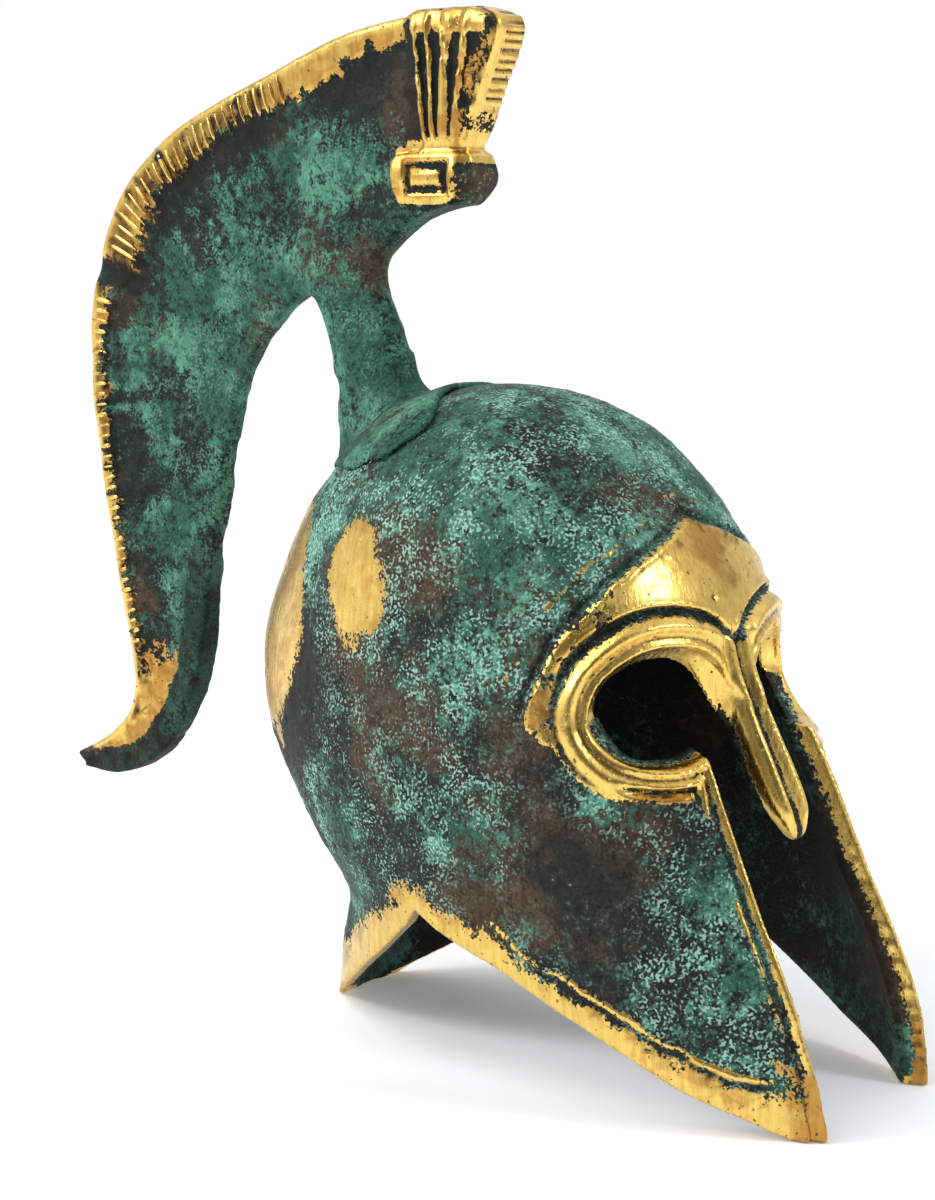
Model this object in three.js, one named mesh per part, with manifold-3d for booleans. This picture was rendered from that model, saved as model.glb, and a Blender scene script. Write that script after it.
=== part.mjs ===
// Corinthian helmet with a high crest: a hollow cast bronze miniature, made of two castings.
// Millimetres, Z up. The face looks along -Y and X = 0 is the plane of symmetry.
// Lengths along Y are counted from the cheek tips. At the end the whole is slid along Y
// so that the middle of its length lies over the origin.

import * as THREE from "three";
import { mergeVertices } from "three/addons/utils/BufferGeometryUtils.js";
import Module from "manifold-3d";

const wasm = await Module();
wasm.setup();

// Driving dimensions
const crownTop = 57.7; // height of the skull over the rest plane
const crownY = 38.1; // the skull's axis, behind the cheek tips
const crownPower = 4; // how late the skull closes over towards its top
const wall = 1.8; // thickness of the casting
const frontPower = 2.36; // squareness of the face in plan
const rearPower = 1.89; // squareness of the back in plan
const widestAtBase = 11.5; // how far the widest place lies ahead of the axis
const widestAtTop = 2;
const castingGap = 0.3; // clearance between the foot of the crest and the skull

// Skull sections, before the crown closes: reach forward and back of the axis, and half width.
const skullSections = [
  { z: -4, front: 41.9, rear: 19.6, half: 14.2 },
  { z: 0, front: 41.1, rear: 18.4, half: 14.8 },
  { z: 6, front: 39.8, rear: 17.0, half: 15.8 },
  { z: 12, front: 36.9, rear: 15.8, half: 16.7 },
  { z: 18, front: 33.3, rear: 20.7, half: 17.5 },
  { z: 26, front: 29.6, rear: 25.8, half: 18.5 },
  { z: 34, front: 26.2, rear: 27.5, half: 19.2 },
  { z: 42, front: 26.0, rear: 26.5, half: 20.2 },
  { z: 50, front: 24.6, rear: 24.9, half: 22.6 },
  { z: 57.7, front: 23.5, rear: 23.5, half: 24.0 },
];

// Lower edge from the side: a foot at the cheek tip, the cheek edge up to the notch,
// then the neck guard down to its foot at the back.
const lowerEdge = [
  { y: 2.2, z: 0 },
  { y: 5.4, z: 1.5 },
  { y: 10.1, z: 3.2 },
  { y: 18.9, z: 7.6 },
  { y: 26.9, z: 11.2 },
  { y: 33.0, z: 13.2 },
  { y: 35.6, z: 14.4 },
  { y: 37.2, z: 12.6 },
  { y: 42.6, z: 8.4 },
  { y: 49.7, z: 3.4 },
  { y: 53.6, z: 0.9 },
  { y: 54.6, z: 0 },
];

// Face opening from the front, one side of it: up the cheek, round the eye, down the nasal guard.
const faceOpening = [
  { x: 8.0, z: -6 },
  { x: 7.9, z: 1 },
  { x: 8.5, z: 7 },
  { x: 8.4, z: 14 },
  { x: 8.1, z: 20 },
  { x: 7.9, z: 26 },
  { x: 7.6, z: 29.6 },
  { x: 10.0, z: 28.9 },
  { x: 13.0, z: 29.2 },
  { x: 14.3, z: 30.9 },
  { x: 14.3, z: 33.2 },
  { x: 13.0, z: 35.8 },
  { x: 10.0, z: 37.6 },
  { x: 6.0, z: 37.6 },
  { x: 3.2, z: 36.2 },
  { x: 1.0, z: 32.5 },
  { x: -0.2, z: 31.0 },
  { x: -0.2, z: -6 },
];

// Middle line of the raised rim, from the nasal root round the eye and down to the cheek tip.
const faceRim = [
  { x: 1.9, z: 37.9 },
  { x: 5.0, z: 39.1 },
  { x: 9.2, z: 39.2 },
  { x: 12.8, z: 37.5 },
  { x: 15.4, z: 34.6 },
  { x: 16.5, z: 31.6 },
  { x: 15.3, z: 28.7 },
  { x: 12.0, z: 27.9 },
  { x: 9.6, z: 27.6 },
  { x: 9.0, z: 24.5 },
  { x: 9.3, z: 19 },
  { x: 9.6, z: 13 },
  { x: 9.6, z: 6 },
  { x: 9.0, z: 0.9 },
];
const faceRimSize = { half: 1.15, height: 0.5 };

// Ridge of the brow, from the temple up to its peak over the nose.
const browRidge = [
  { x: 17.0, z: 33.4 },
  { x: 14.7, z: 38.6 },
  { x: 11.9, z: 41.8 },
  { x: 7.8, z: 45.0 },
  { x: 0, z: 48.6 },
];
const browRidgeSize = { half: 0.8, height: 0.5 };

// Nasal guard: its front along Y, half width and depth at each height.
const nasalSections = [
  { z: 40.0, front: 16.6, half: 1.0, depth: 2.2 },
  { z: 37.3, front: 14.6, half: 1.6, depth: 2.6 },
  { z: 34.2, front: 12.9, half: 1.8, depth: 2.9 },
  { z: 30.7, front: 11.0, half: 2.0, depth: 2.9 },
  { z: 27.2, front: 9.2, half: 2.2, depth: 2.8 },
  { z: 24.4, front: 7.9, half: 2.1, depth: 2.4 },
  { z: 22.6, front: 7.3, half: 1.4, depth: 1.8 },
  { z: 21.7, front: 7.5, half: 0.7, depth: 1.1 },
];
// Section of the nasal guard: two ridges with a groove between them.
const nasalProfile = [
  { across: 1, depth: 0.35 },
  { across: 0.6, depth: 0 },
  { across: 0, depth: 0.17 },
  { across: -0.6, depth: 0 },
  { across: -1, depth: 0.35 },
  { across: -0.75, depth: 1 },
  { across: 0.75, depth: 1 },
];

// Crest, from the front lock to the tip of the tail: outer and inner edge of each section
// and half its thickness there.
const crestSections = [
  { outerY: 43.4, outerZ: 89.0, innerY: 43.6, innerZ: 73.2, outerHalf: 2.3, innerHalf: 2.0 },
  { outerY: 48.0, outerZ: 89.4, innerY: 48.2, innerZ: 71.7, outerHalf: 2.4, innerHalf: 1.9 },
  { outerY: 56.1, outerZ: 88.0, innerY: 54.0, innerZ: 68.2, outerHalf: 2.4, innerHalf: 1.7 },
  { outerY: 63.6, outerZ: 85.4, innerY: 59.0, innerZ: 66.2, outerHalf: 2.4, innerHalf: 1.4 },
  { outerY: 71.3, outerZ: 82.6, innerY: 63.0, innerZ: 64.2, outerHalf: 2.4, innerHalf: 1.0 },
  { outerY: 78.6, outerZ: 79.2, innerY: 66.5, innerZ: 61.1, outerHalf: 2.4, innerHalf: 0.8 },
  { outerY: 84.2, outerZ: 74.6, innerY: 69.0, innerZ: 57.8, outerHalf: 2.3, innerHalf: 0.8 },
  { outerY: 87.4, outerZ: 69.0, innerY: 70.6, innerZ: 54.0, outerHalf: 2.2, innerHalf: 0.8 },
  { outerY: 89.1, outerZ: 62.5, innerY: 71.8, innerZ: 49.6, outerHalf: 2.2, innerHalf: 0.9 },
  { outerY: 89.3, outerZ: 55.7, innerY: 72.6, innerZ: 45.2, outerHalf: 2.2, innerHalf: 1.0 },
  { outerY: 88.4, outerZ: 48.0, innerY: 73.7, innerZ: 40.4, outerHalf: 2.1, innerHalf: 1.3 },
  { outerY: 86.9, outerZ: 39.7, innerY: 74.5, innerZ: 35.4, outerHalf: 2.1, innerHalf: 1.5 },
  { outerY: 85.3, outerZ: 32.0, innerY: 75.1, innerZ: 30.6, outerHalf: 2.1, innerHalf: 1.7 },
  { outerY: 84.2, outerZ: 27.0, innerY: 76.6, innerZ: 26.0, outerHalf: 2.1, innerHalf: 1.8 },
  { outerY: 84.9, outerZ: 23.4, innerY: 79.0, innerZ: 21.4, outerHalf: 2.0, innerHalf: 1.7 },
  { outerY: 87.2, outerZ: 20.8, innerY: 83.0, innerZ: 17.7, outerHalf: 1.9, innerHalf: 1.6 },
  { outerY: 90.2, outerZ: 18.9, innerY: 88.2, innerZ: 15.7, outerHalf: 1.7, innerHalf: 1.4 },
  { outerY: 94.2, outerZ: 17.1, innerY: 93.4, innerZ: 15.6, outerHalf: 1.1, innerHalf: 1.0 },
];
// Section of the crest from its outer to its inner edge: share of the way in,
// and how far the side stands from the straight taper between the two half thicknesses.
const crestProfile = [
  { in: 0, proud: -0.5 },
  { in: 0.025, proud: 0 },
  { in: 0.2, proud: 0 },
  { in: 0.25, proud: -0.4 },
  { in: 0.6, proud: -0.3 },
  { in: 0.97, proud: 0 },
  { in: 1, proud: -0.35 },
];

// Front lock of the crest, its waist and the scroll under it, from the top down.
const lockSections = [
  { z: 90.0, front: 40.2, rear: 47.2, half: 2.1 },
  { z: 89.2, front: 38.2, rear: 47.8, half: 2.6 },
  { z: 87.6, front: 37.9, rear: 47.6, half: 2.75 },
  { z: 83.0, front: 39.8, rear: 47.0, half: 2.65 },
  { z: 79.6, front: 41.2, rear: 46.4, half: 2.5 },
  { z: 78.0, front: 41.8, rear: 46.4, half: 2.1 },
  { z: 77.4, front: 41.2, rear: 49.2, half: 2.5 },
  { z: 75.2, front: 40.8, rear: 49.4, half: 2.75 },
  { z: 73.1, front: 42.2, rear: 49.0, half: 2.2 },
];
const lockChamfer = 1.5; // width of the slanted strip beside the front face
// Ribs down the side of the lock: their place along Y at the top and at the foot.
const lockRibs = [
  { topY: 46.6, footY: 45.6 },
  { topY: 44.6, footY: 44.7 },
  { topY: 42.6, footY: 43.8 },
];
const lockRibSpan = { top: 88.4, foot: 79.2, half: 0.42, proud: 0.35 };
const frontGrooves = { count: 7, top: 86.6, foot: 79.8, height: 0.45, depth: 0.45, half: 1.5 };
const scrollPanel = { front: 43.4, rear: 47.6, top: 76.6, foot: 74.6, depth: 0.5 };

// Stem: front and rear along Y and half thickness at each height.
const stemSections = [
  { z: 71.5, front: 50.0, rear: 63.0, half: 1.4 },
  { z: 68.5, front: 52.0, rear: 62.8, half: 1.8 },
  { z: 66.0, front: 52.2, rear: 61.4, half: 2.1 },
  { z: 63.0, front: 51.0, rear: 59.4, half: 2.3 },
  { z: 59.5, front: 49.6, rear: 58.0, half: 2.7 },
];
// Edge of the saddle foot in plan, from its front round one side to the back.
const footEdge = [
  { x: 0, y: 43.4 },
  { x: 5.5, y: 41.4 },
  { x: 9.8, y: 38.8 },
  { x: 12.4, y: 40.6 },
  { x: 12.6, y: 44.6 },
  { x: 10.6, y: 48.4 },
  { x: 6.6, y: 52.6 },
  { x: 2.8, y: 55.8 },
  { x: 0, y: 56.8 },
];
// How far the foot stands over the skull, and how fast its flare falls away from the stem.
const footFront = { proud: 0.7, fall: 5 };
const footRear = { proud: 0.9, fall: 2.3 };
const footSteps = [0.12, 0.28, 0.5, 0.75, 1]; // places of the rings down the flare

// Finishes
const bronzeShell = new THREE.MeshStandardMaterial({
  color: 0x3d5a50,
  roughness: 0.72,
  metalness: 0.55,
});
const bronzeCrest = new THREE.MeshStandardMaterial({
  color: 0x4a6f5c,
  roughness: 0.7,
  metalness: 0.5,
});

// Solids
const asSolid = (geometry) => {
  const bare = geometry.clone();
  bare.deleteAttribute("normal");
  bare.deleteAttribute("uv");
  const merged = mergeVertices(bare, 1e-4);
  return new wasm.Manifold(
    new wasm.Mesh({
      numProp: 3,
      vertProperties: merged.attributes.position.array,
      triVerts: new Uint32Array(merged.index.array),
    }),
  );
};

const asGeometry = (solid) => {
  const mesh = solid.getMesh();
  const geometry = new THREE.BufferGeometry();
  geometry.setAttribute("position", new THREE.BufferAttribute(mesh.vertProperties, 3));
  geometry.setIndex(new THREE.BufferAttribute(mesh.triVerts, 1));
  geometry.computeVertexNormals();
  return geometry;
};

const join = (solids) => solids.reduce((whole, solid) => whole.add(solid));

// Skin through a row of rings with equally many points, closed at both ends.
const loft = (rings) => {
  const sides = rings[0].length;
  const middle = (ring) =>
    ring.reduce((sum, point) => sum.add(point), new THREE.Vector3()).divideScalar(sides);
  const points = [...rings.flat(), middle(rings[0]), middle(rings[rings.length - 1])];
  const first = points.length - 2;
  const last = points.length - 1;
  const faces = [];
  for (let row = 0; row + 1 < rings.length; row++) {
    for (let side = 0; side < sides; side++) {
      const a = row * sides + side;
      const b = row * sides + ((side + 1) % sides);
      faces.push(a, b, b + sides, a, b + sides, a + sides);
    }
  }
  const end = (rings.length - 1) * sides;
  for (let side = 0; side < sides; side++) {
    const next = (side + 1) % sides;
    faces.push(first, next, side, last, end + side, end + next);
  }
  const geometry = new THREE.BufferGeometry().setFromPoints(points);
  geometry.setIndex(faces);
  const solid = asSolid(geometry);
  if (solid.volume() > 0) return solid;
  geometry.setIndex(faces.reverse());
  return asSolid(geometry);
};

// Value of one column of a table at height z, on a smooth curve through the rows.
const column = (table, key, z) => {
  const last = table.length - 1;
  let row = 0;
  while (row < last - 1 && z > table[row + 1].z) row++;
  const slope = (i) => {
    const low = table[Math.max(i - 1, 0)];
    const high = table[Math.min(i + 1, last)];
    return (high[key] - low[key]) / (high.z - low.z);
  };
  const span = table[row + 1].z - table[row].z;
  const t = (z - table[row].z) / span;
  const [t2, t3] = [t * t, t * t * t];
  return (
    (2 * t3 - 3 * t2 + 1) * table[row][key] +
    (t3 - 2 * t2 + t) * span * slope(row) +
    (3 * t2 - 2 * t3) * table[row + 1][key] +
    (t3 - t2) * span * slope(row + 1)
  );
};

// Sizes of the skull's section at height z, set in from the skin by the given depth.
const skullAt = (z, depth = 0) => {
  const top = crownTop - depth;
  const closing = Math.sqrt(Math.max(0, 1 - Math.pow(Math.max(z, 0) / top, crownPower)));
  const ahead = widestAtBase + ((widestAtTop - widestAtBase) * z) / crownTop;
  return {
    half: (column(skullSections, "half", z) - depth) * closing,
    widestY: crownY - ahead * closing,
    front: (column(skullSections, "front", z) - depth - ahead) * closing,
    rear: (column(skullSections, "rear", z) - depth + ahead) * closing,
  };
};

const skullRing = (z, depth, sides) => {
  const at = skullAt(z, depth);
  return Array.from({ length: sides }, (_, side) => {
    const turn = (side / sides) * 2 * Math.PI;
    const [across, along] = [Math.sin(turn), -Math.cos(turn)];
    const power = 2 / (along < 0 ? frontPower : rearPower);
    const reach = along < 0 ? at.front : at.rear;
    return new THREE.Vector3(
      at.half * Math.sign(across) * Math.pow(Math.abs(across), power),
      at.widestY + reach * Math.sign(along) * Math.pow(Math.abs(along), power),
      z,
    );
  });
};

const skullSolid = (depth, rows, sides, foot) => {
  const top = crownTop - depth;
  const start = Math.asin(foot / top);
  const nearTop = 0.995;
  return loft(
    Array.from({ length: rows + 1 }, (_, row) => {
      const turn = start + (nearTop * Math.PI) / 2 * (row / rows) - (start * row) / rows;
      return skullRing(top * Math.sin(turn), depth, sides);
    }),
  );
};

// Point of the face's skin over a place in the front view, with the outward normal.
const faceY = (x, z) => {
  const at = skullAt(z);
  const share = Math.min(0.9999, Math.abs(x) / at.half);
  return at.widestY - at.front * Math.pow(1 - Math.pow(share, frontPower), 1 / frontPower);
};

const facePoint = (x, z) => new THREE.Vector3(x, faceY(x, z), z);

const faceNormal = (x, z) => {
  const step = 0.05;
  const inward = Math.abs(x) > 16 ? -step * Math.sign(x) : step;
  const alongX = (faceY(x + inward, z) - faceY(x, z)) / inward;
  const alongZ = (faceY(x, z + step) - faceY(x, z - step)) / (2 * step);
  return new THREE.Vector3(alongX, -1, alongZ).normalize();
};

const smoothRoute = (rows, keys, steps) => {
  const [first, second, third] = keys;
  const curve = new THREE.CatmullRomCurve3(
    rows.map((row) => new THREE.Vector3(row[first], row[second], third ? row[third] : 0)),
    false,
    "catmullrom",
    0.5,
  );
  return curve.getPoints(steps);
};

// Raised bead along a route over the face, sunk into the wall so that it joins it.
const faceBead = (rows, { half, height }, steps) => {
  const sunk = -0.7 * wall;
  const profile = [
    [-half, sunk],
    [-half, 0.1],
    [-0.6 * half, height],
    [0.6 * half, height],
    [half, 0.1],
    [half, sunk],
  ];
  const route = smoothRoute(rows, ["x", "z"], steps);
  const centres = route.map((p) => facePoint(p.x, p.y));
  return loft(
    centres.map((centre, i) => {
      const before = centres[Math.max(i - 1, 0)];
      const after = centres[Math.min(i + 1, centres.length - 1)];
      const tangent = after.clone().sub(before).normalize();
      const normal = faceNormal(route[i].x, route[i].y);
      const across = tangent.clone().cross(normal).normalize();
      return profile.map(([side, out]) =>
        centre.clone().addScaledVector(across, side).addScaledVector(normal, out),
      );
    }),
  );
};

const mirrored = (rows) => rows.map((row) => ({ ...row, x: -row.x }));

// Prism over an outline in the front view, from frontY back to rearY.
const frontPrism = (rows, frontY, rearY) => {
  const outline = new THREE.Shape(rows.map((row) => new THREE.Vector2(row.x, row.z)));
  const geometry = new THREE.ExtrudeGeometry(outline, {
    depth: rearY - frontY,
    bevelEnabled: false,
  });
  geometry.rotateX(Math.PI / 2);
  geometry.translate(0, rearY, 0);
  return asSolid(geometry);
};

// Prism over an outline in the side view, from the left to the right of the helmet.
const sidePrism = (points, fromX, toX) => {
  const outline = new THREE.Shape(points.map((point) => new THREE.Vector2(point.y, point.z)));
  const geometry = new THREE.ExtrudeGeometry(outline, {
    depth: toX - fromX,
    bevelEnabled: false,
  });
  geometry.applyMatrix4(
    new THREE.Matrix4().makeBasis(
      new THREE.Vector3(0, 1, 0),
      new THREE.Vector3(0, 0, 1),
      new THREE.Vector3(1, 0, 0),
    ),
  );
  geometry.translate(fromX, 0, 0);
  return asSolid(geometry);
};

// Helmet shell
const belowLowerEdge = () =>
  sidePrism(
    [{ y: -10, z: -12 }, { y: -10, z: 0 }, ...lowerEdge, { y: 70, z: 0 }, { y: 70, z: -12 }],
    -30,
    30,
  );

const faceCutter = () => {
  const cheek = faceOpening.slice(0, 7);
  const eye = smoothRoute(faceOpening.slice(6, 16), ["x", "z"], 27).map((p) => ({
    x: p.x,
    z: p.y,
  }));
  const half = [...cheek.slice(0, 6), ...eye, ...faceOpening.slice(16)];
  return frontPrism(half, -10, 27).add(frontPrism(mirrored(half).reverse(), -10, 27));
};

const nasalGuard = () =>
  loft(
    nasalSections.map((row) =>
      nasalProfile.map(
        (point) =>
          new THREE.Vector3(point.across * row.half, row.front + point.depth * row.depth, row.z),
      ),
    ),
  );

const helmetShell = () => {
  const outer = skullSolid(0, 30, 64, -3);
  const inner = skullSolid(wall, 20, 40, -3.9);
  const rims = [
    faceBead(faceRim, faceRimSize, 34),
    faceBead(mirrored(faceRim), faceRimSize, 34),
    faceBead([...browRidge, ...mirrored(browRidge.slice(0, -1)).reverse()], browRidgeSize, 24),
  ];
  return join([outer.subtract(inner).subtract(faceCutter()), ...rims, nasalGuard()]).subtract(
    belowLowerEdge(),
  );
};

// Crest
const crestBody = () => {
  const steps = 40;
  const outer = smoothRoute(crestSections, ["outerHalf", "outerY", "outerZ"], steps);
  const inner = smoothRoute(crestSections, ["innerHalf", "innerY", "innerZ"], steps);
  return loft(
    outer.map((from, i) => {
      const to = inner[i];
      const scale = Math.min(1, from.x / 2);
      const right = crestProfile.map((point) => {
        const at = from.clone().lerp(to, point.in);
        return new THREE.Vector3(at.x + point.proud * scale, at.y, at.z);
      });
      const left = right.map((point) => new THREE.Vector3(-point.x, point.y, point.z)).reverse();
      return [...right, ...left];
    }),
  );
};

const frontLock = () =>
  loft(
    lockSections.map((row) => {
      const face = row.half - Math.min(lockChamfer, 0.45 * row.half);
      const side = row.front + lockChamfer;
      return [
        [-face, row.front],
        [face, row.front],
        [row.half, side],
        [row.half, row.rear - 0.5],
        [row.half - 0.6, row.rear],
        [0.6 - row.half, row.rear],
        [-row.half, row.rear - 0.5],
        [-row.half, side],
      ].map(([x, y]) => new THREE.Vector3(x, y, row.z));
    }),
  );

const lockRib = ({ topY, footY }, sign) => {
  const { top, foot, half, proud } = lockRibSpan;
  const side = 2.6;
  return loft(
    [
      { y: topY, z: top },
      { y: footY, z: foot },
    ].map(({ y, z }) =>
      [
        [side - 0.8, y - half],
        [side + proud, y - 0.5 * half],
        [side + proud, y + 0.5 * half],
        [side - 0.8, y + half],
      ].map(([x, along]) => new THREE.Vector3(sign * x, along, z)),
    ),
  );
};

const frontGroove = (index) => {
  const { count, top, foot, height, depth, half } = frontGrooves;
  const z = top + ((foot - top) * index) / (count - 1);
  const face = column([...lockSections].reverse(), "front", z);
  const block = new THREE.BoxGeometry(2 * half, 2 * depth, height);
  block.translate(0, face, z);
  return asSolid(block);
};

const scrollHollow = (sign) => {
  const { front, rear, top, foot, depth } = scrollPanel;
  const block = new THREE.BoxGeometry(2 * depth, rear - front, top - foot);
  block.translate(sign * 2.75, (front + rear) / 2, (top + foot) / 2);
  return asSolid(block);
};

// Height of the skull over a place in plan.
const skullHeight = (x, y) => {
  let [low, high] = [20, crownTop];
  for (let halving = 0; halving < 30; halving++) {
    const z = (low + high) / 2;
    const at = skullAt(z);
    const power = y < at.widestY ? frontPower : rearPower;
    const reach = y < at.widestY ? at.front : at.rear;
    const level =
      Math.pow(Math.abs(x) / at.half, power) + Math.pow(Math.abs(y - at.widestY) / reach, power);
    if (level < 1) low = z;
    else high = z;
  }
  return low;
};

// Stem with its flare down to the saddle foot, which runs on into the skull to be cut there.
const stemSolid = () => {
  const sides = 32;
  const outline = [
    ...footEdge,
    ...footEdge
      .slice(1, -1)
      .reverse()
      .map(({ x, y }) => ({ x: -x, y })),
  ].map(({ x, y }) => new THREE.Vector3(x, y, 0));
  const plan = new THREE.CatmullRomCurve3(outline, true, "catmullrom", 0.5);
  const edge = plan.getPoints(sides).slice(0, sides);
  const centreY = (footEdge[0].y + footEdge[footEdge.length - 1].y) / 2;
  const leaning = (front, rear, side) => {
    const share = (1 + Math.cos((side / sides) * 2 * Math.PI)) / 2;
    return rear + (front - rear) * share;
  };
  const overSkull = (x, y, side) => {
    const proud = leaning(footFront.proud, footRear.proud, side);
    const height = skullHeight(x, y);
    const step = 0.1;
    const out = new THREE.Vector3(
      height - skullHeight(x + step, y),
      height - skullHeight(x, y + step),
      step,
    );
    return out.setLength(proud).add(new THREE.Vector3(x, y, height));
  };
  const stemRing = (row) => {
    const middle = (row.front + row.rear) / 2;
    return edge.map((_, side) => {
      const turn = (side / sides) * 2 * Math.PI;
      return new THREE.Vector3(
        row.half * Math.sin(turn),
        middle - ((row.rear - row.front) / 2) * Math.cos(turn),
        row.z,
      );
    });
  };
  const base = stemRing(stemSections[stemSections.length - 1]);
  const flare = footSteps.map((step) =>
    base.map((from, side) => {
      const rise = from.z - overSkull(from.x, from.y, side).z;
      const plain = from.clone().lerp(edge[side], step);
      const over = overSkull(plain.x, plain.y, side);
      const fall = leaning(footFront.fall, footRear.fall, side);
      return new THREE.Vector3(
        plain.x + (over.x - plain.x) * step,
        plain.y + (over.y - plain.y) * step,
        over.z + rise * Math.pow(1 - step, fall),
      );
    }),
  );
  const sunk = flare[flare.length - 1].map(
    (p) => new THREE.Vector3(0.8 * p.x, centreY + 0.8 * (p.y - centreY), p.z - 6),
  );
  return loft([...stemSections.map(stemRing), ...flare, sunk]);
};

const crestOnStem = () => {
  const skull = skullSolid(-castingGap, 24, 48, 30);
  let crest = join([crestBody(), frontLock(), stemSolid().subtract(skull)]);
  for (const sign of [-1, 1]) {
    for (const rib of lockRibs) crest = crest.add(lockRib(rib, sign));
    crest = crest.subtract(scrollHollow(sign));
  }
  for (let index = 0; index < frontGrooves.count; index++) {
    crest = crest.subtract(frontGroove(index));
  }
  return crest;
};

// Assembly
const mesh = (name, solid, material) => {
  const made = new THREE.Mesh(asGeometry(solid), material);
  made.name = name;
  return made;
};

const helmet = new THREE.Group();
helmet.add(mesh("helmet_shell", helmetShell(), bronzeShell));
helmet.add(mesh("crest_on_stem", crestOnStem(), bronzeCrest));

const bounds = new THREE.Box3().setFromObject(helmet);
helmet.position.y = -(bounds.min.y + bounds.max.y) / 2;
helmet.updateMatrixWorld(true);

export default helmet;
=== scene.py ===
"""Corinthian helmet with a high crest: the visual model of a hollow cast bronze miniature.

Each casting is worked out as a distance field in millimetres, counted along Y from the
cheek tips, and its skin is drawn off the field as a fine mesh in metres. The bright and
the weathered places are stored on the mesh as numbers that the bronze finish reads.
"""

import logging
import math
from collections.abc import Iterator
from dataclasses import dataclass, field
from enum import Enum

import bpy
import numpy as np
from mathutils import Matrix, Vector


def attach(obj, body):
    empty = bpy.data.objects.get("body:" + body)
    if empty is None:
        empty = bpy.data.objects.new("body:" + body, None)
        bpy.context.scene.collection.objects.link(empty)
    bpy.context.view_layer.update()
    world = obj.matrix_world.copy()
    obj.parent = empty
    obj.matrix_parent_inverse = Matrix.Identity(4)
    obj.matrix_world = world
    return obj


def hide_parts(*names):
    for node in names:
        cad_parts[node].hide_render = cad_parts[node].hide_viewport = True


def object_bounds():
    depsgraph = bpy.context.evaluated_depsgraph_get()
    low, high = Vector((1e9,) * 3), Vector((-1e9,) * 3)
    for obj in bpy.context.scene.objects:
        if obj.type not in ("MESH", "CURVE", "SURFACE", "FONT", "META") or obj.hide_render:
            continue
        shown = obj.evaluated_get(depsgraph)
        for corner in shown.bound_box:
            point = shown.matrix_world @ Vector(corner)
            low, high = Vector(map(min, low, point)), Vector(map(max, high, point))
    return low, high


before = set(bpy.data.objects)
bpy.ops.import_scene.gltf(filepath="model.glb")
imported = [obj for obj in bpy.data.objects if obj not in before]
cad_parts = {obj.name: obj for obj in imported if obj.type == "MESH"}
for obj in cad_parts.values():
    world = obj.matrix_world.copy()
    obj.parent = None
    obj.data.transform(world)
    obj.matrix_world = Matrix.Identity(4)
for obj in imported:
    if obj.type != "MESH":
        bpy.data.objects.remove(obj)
CAD_LOW, CAD_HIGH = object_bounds()

log = logging.getLogger("helmet")

Rows = tuple[tuple[float, ...], ...]

MM = 0.001
HALF_LENGTH = -CAD_LOW.y / MM  # the cheek tips lie this far ahead of the middle
HALF_TURN = math.pi
MOST_TRIANGLES = 190000
SURFACE_STEPS = 2  # moves that bring each corner of a skin onto its surface
FAR = 99.0  # stands for a distance from the face's lines where none is measured


class Wear(Enum):
    """What is stored on a casting's corners for its finish."""

    POLISH = "polish"  # rubbed or filed bright
    CREVICE = "crevice"  # where dirt and dark bronze stay
    VERDIGRIS = "verdigris"  # how much green the skin carries
    STAIN = "stain"  # copper-brown tarnish on the bright metal
    INNER_SHADE = "inner"  # the side that faces the hollow, which the finish darkens as painted shade


# Numbers, curves and distances


def smooth_step(low: float, high: float, value: np.ndarray) -> np.ndarray:
    """Eased rise from 0 at low to 1 at high."""
    t = np.clip((value - low) / (high - low), 0, 1)
    return t * t * (3 - 2 * t)


def bump(value: np.ndarray, centre: float, half: float) -> np.ndarray:
    """Rounded hill of height 1 that ends half a width away from its centre."""
    return 1 - smooth_step(0, half, np.abs(value - centre))


def smooth_max(a: np.ndarray, b: np.ndarray, radius: float) -> np.ndarray:
    """Larger of two fields, with the edge between them rounded."""
    share = np.clip(0.5 + 0.5 * (a - b) / radius, 0, 1)
    return b + (a - b) * share + radius * share * (1 - share)


def smooth_min(a: np.ndarray, b: np.ndarray, radius: float) -> np.ndarray:
    """Smaller of two fields, with a fillet where they meet."""
    return -smooth_max(-a, -b, radius)


def column(rows: Rows, index: int, places: np.ndarray) -> np.ndarray:
    """Reads one column of a table on a smooth curve through its rows.

    Args:
        rows: the table, sorted by its first column.
        index: the column to read.
        places: values of the first column to read it at; beyond the table its ends hold.

    Returns:
        The column's value at each place.
    """
    at = np.array([row[0] for row in rows], float)
    value = np.array([row[index] for row in rows], float)
    slope = np.gradient(value, at, edge_order=1)
    slope[1:-1] = (value[2:] - value[:-2]) / (at[2:] - at[:-2])
    places = np.clip(places, at[0], at[-1])
    low = np.clip(np.searchsorted(at, places, side="right") - 1, 0, len(at) - 2)
    span = at[low + 1] - at[low]
    t = (places - at[low]) / span
    return (
        (2 * t**3 - 3 * t**2 + 1) * value[low]
        + (t**3 - 2 * t**2 + t) * span * slope[low]
        + (3 * t**2 - 2 * t**3) * value[low + 1]
        + (t**3 - t**2) * span * slope[low + 1]
    )


def smooth_route(rows: Rows, steps: int) -> np.ndarray:
    """Smooth curve through points, with the same number of steps between each two."""
    points = np.array(rows, float)
    points = np.vstack([2 * points[0] - points[1], points, 2 * points[-1] - points[-2]])
    t = np.linspace(0, 1, steps, endpoint=False)[:, None]
    parts = []
    for a, b, c, d in zip(points[:-3], points[1:-2], points[2:-1], points[3:]):
        parts.append(
            0.5
            * (
                2 * b
                + (c - a) * t
                + (2 * a - 5 * b + 4 * c - d) * t**2
                + (3 * b - a - 3 * c + d) * t**3
            )
        )
    return np.vstack([*parts, points[-2:-1]])


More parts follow.
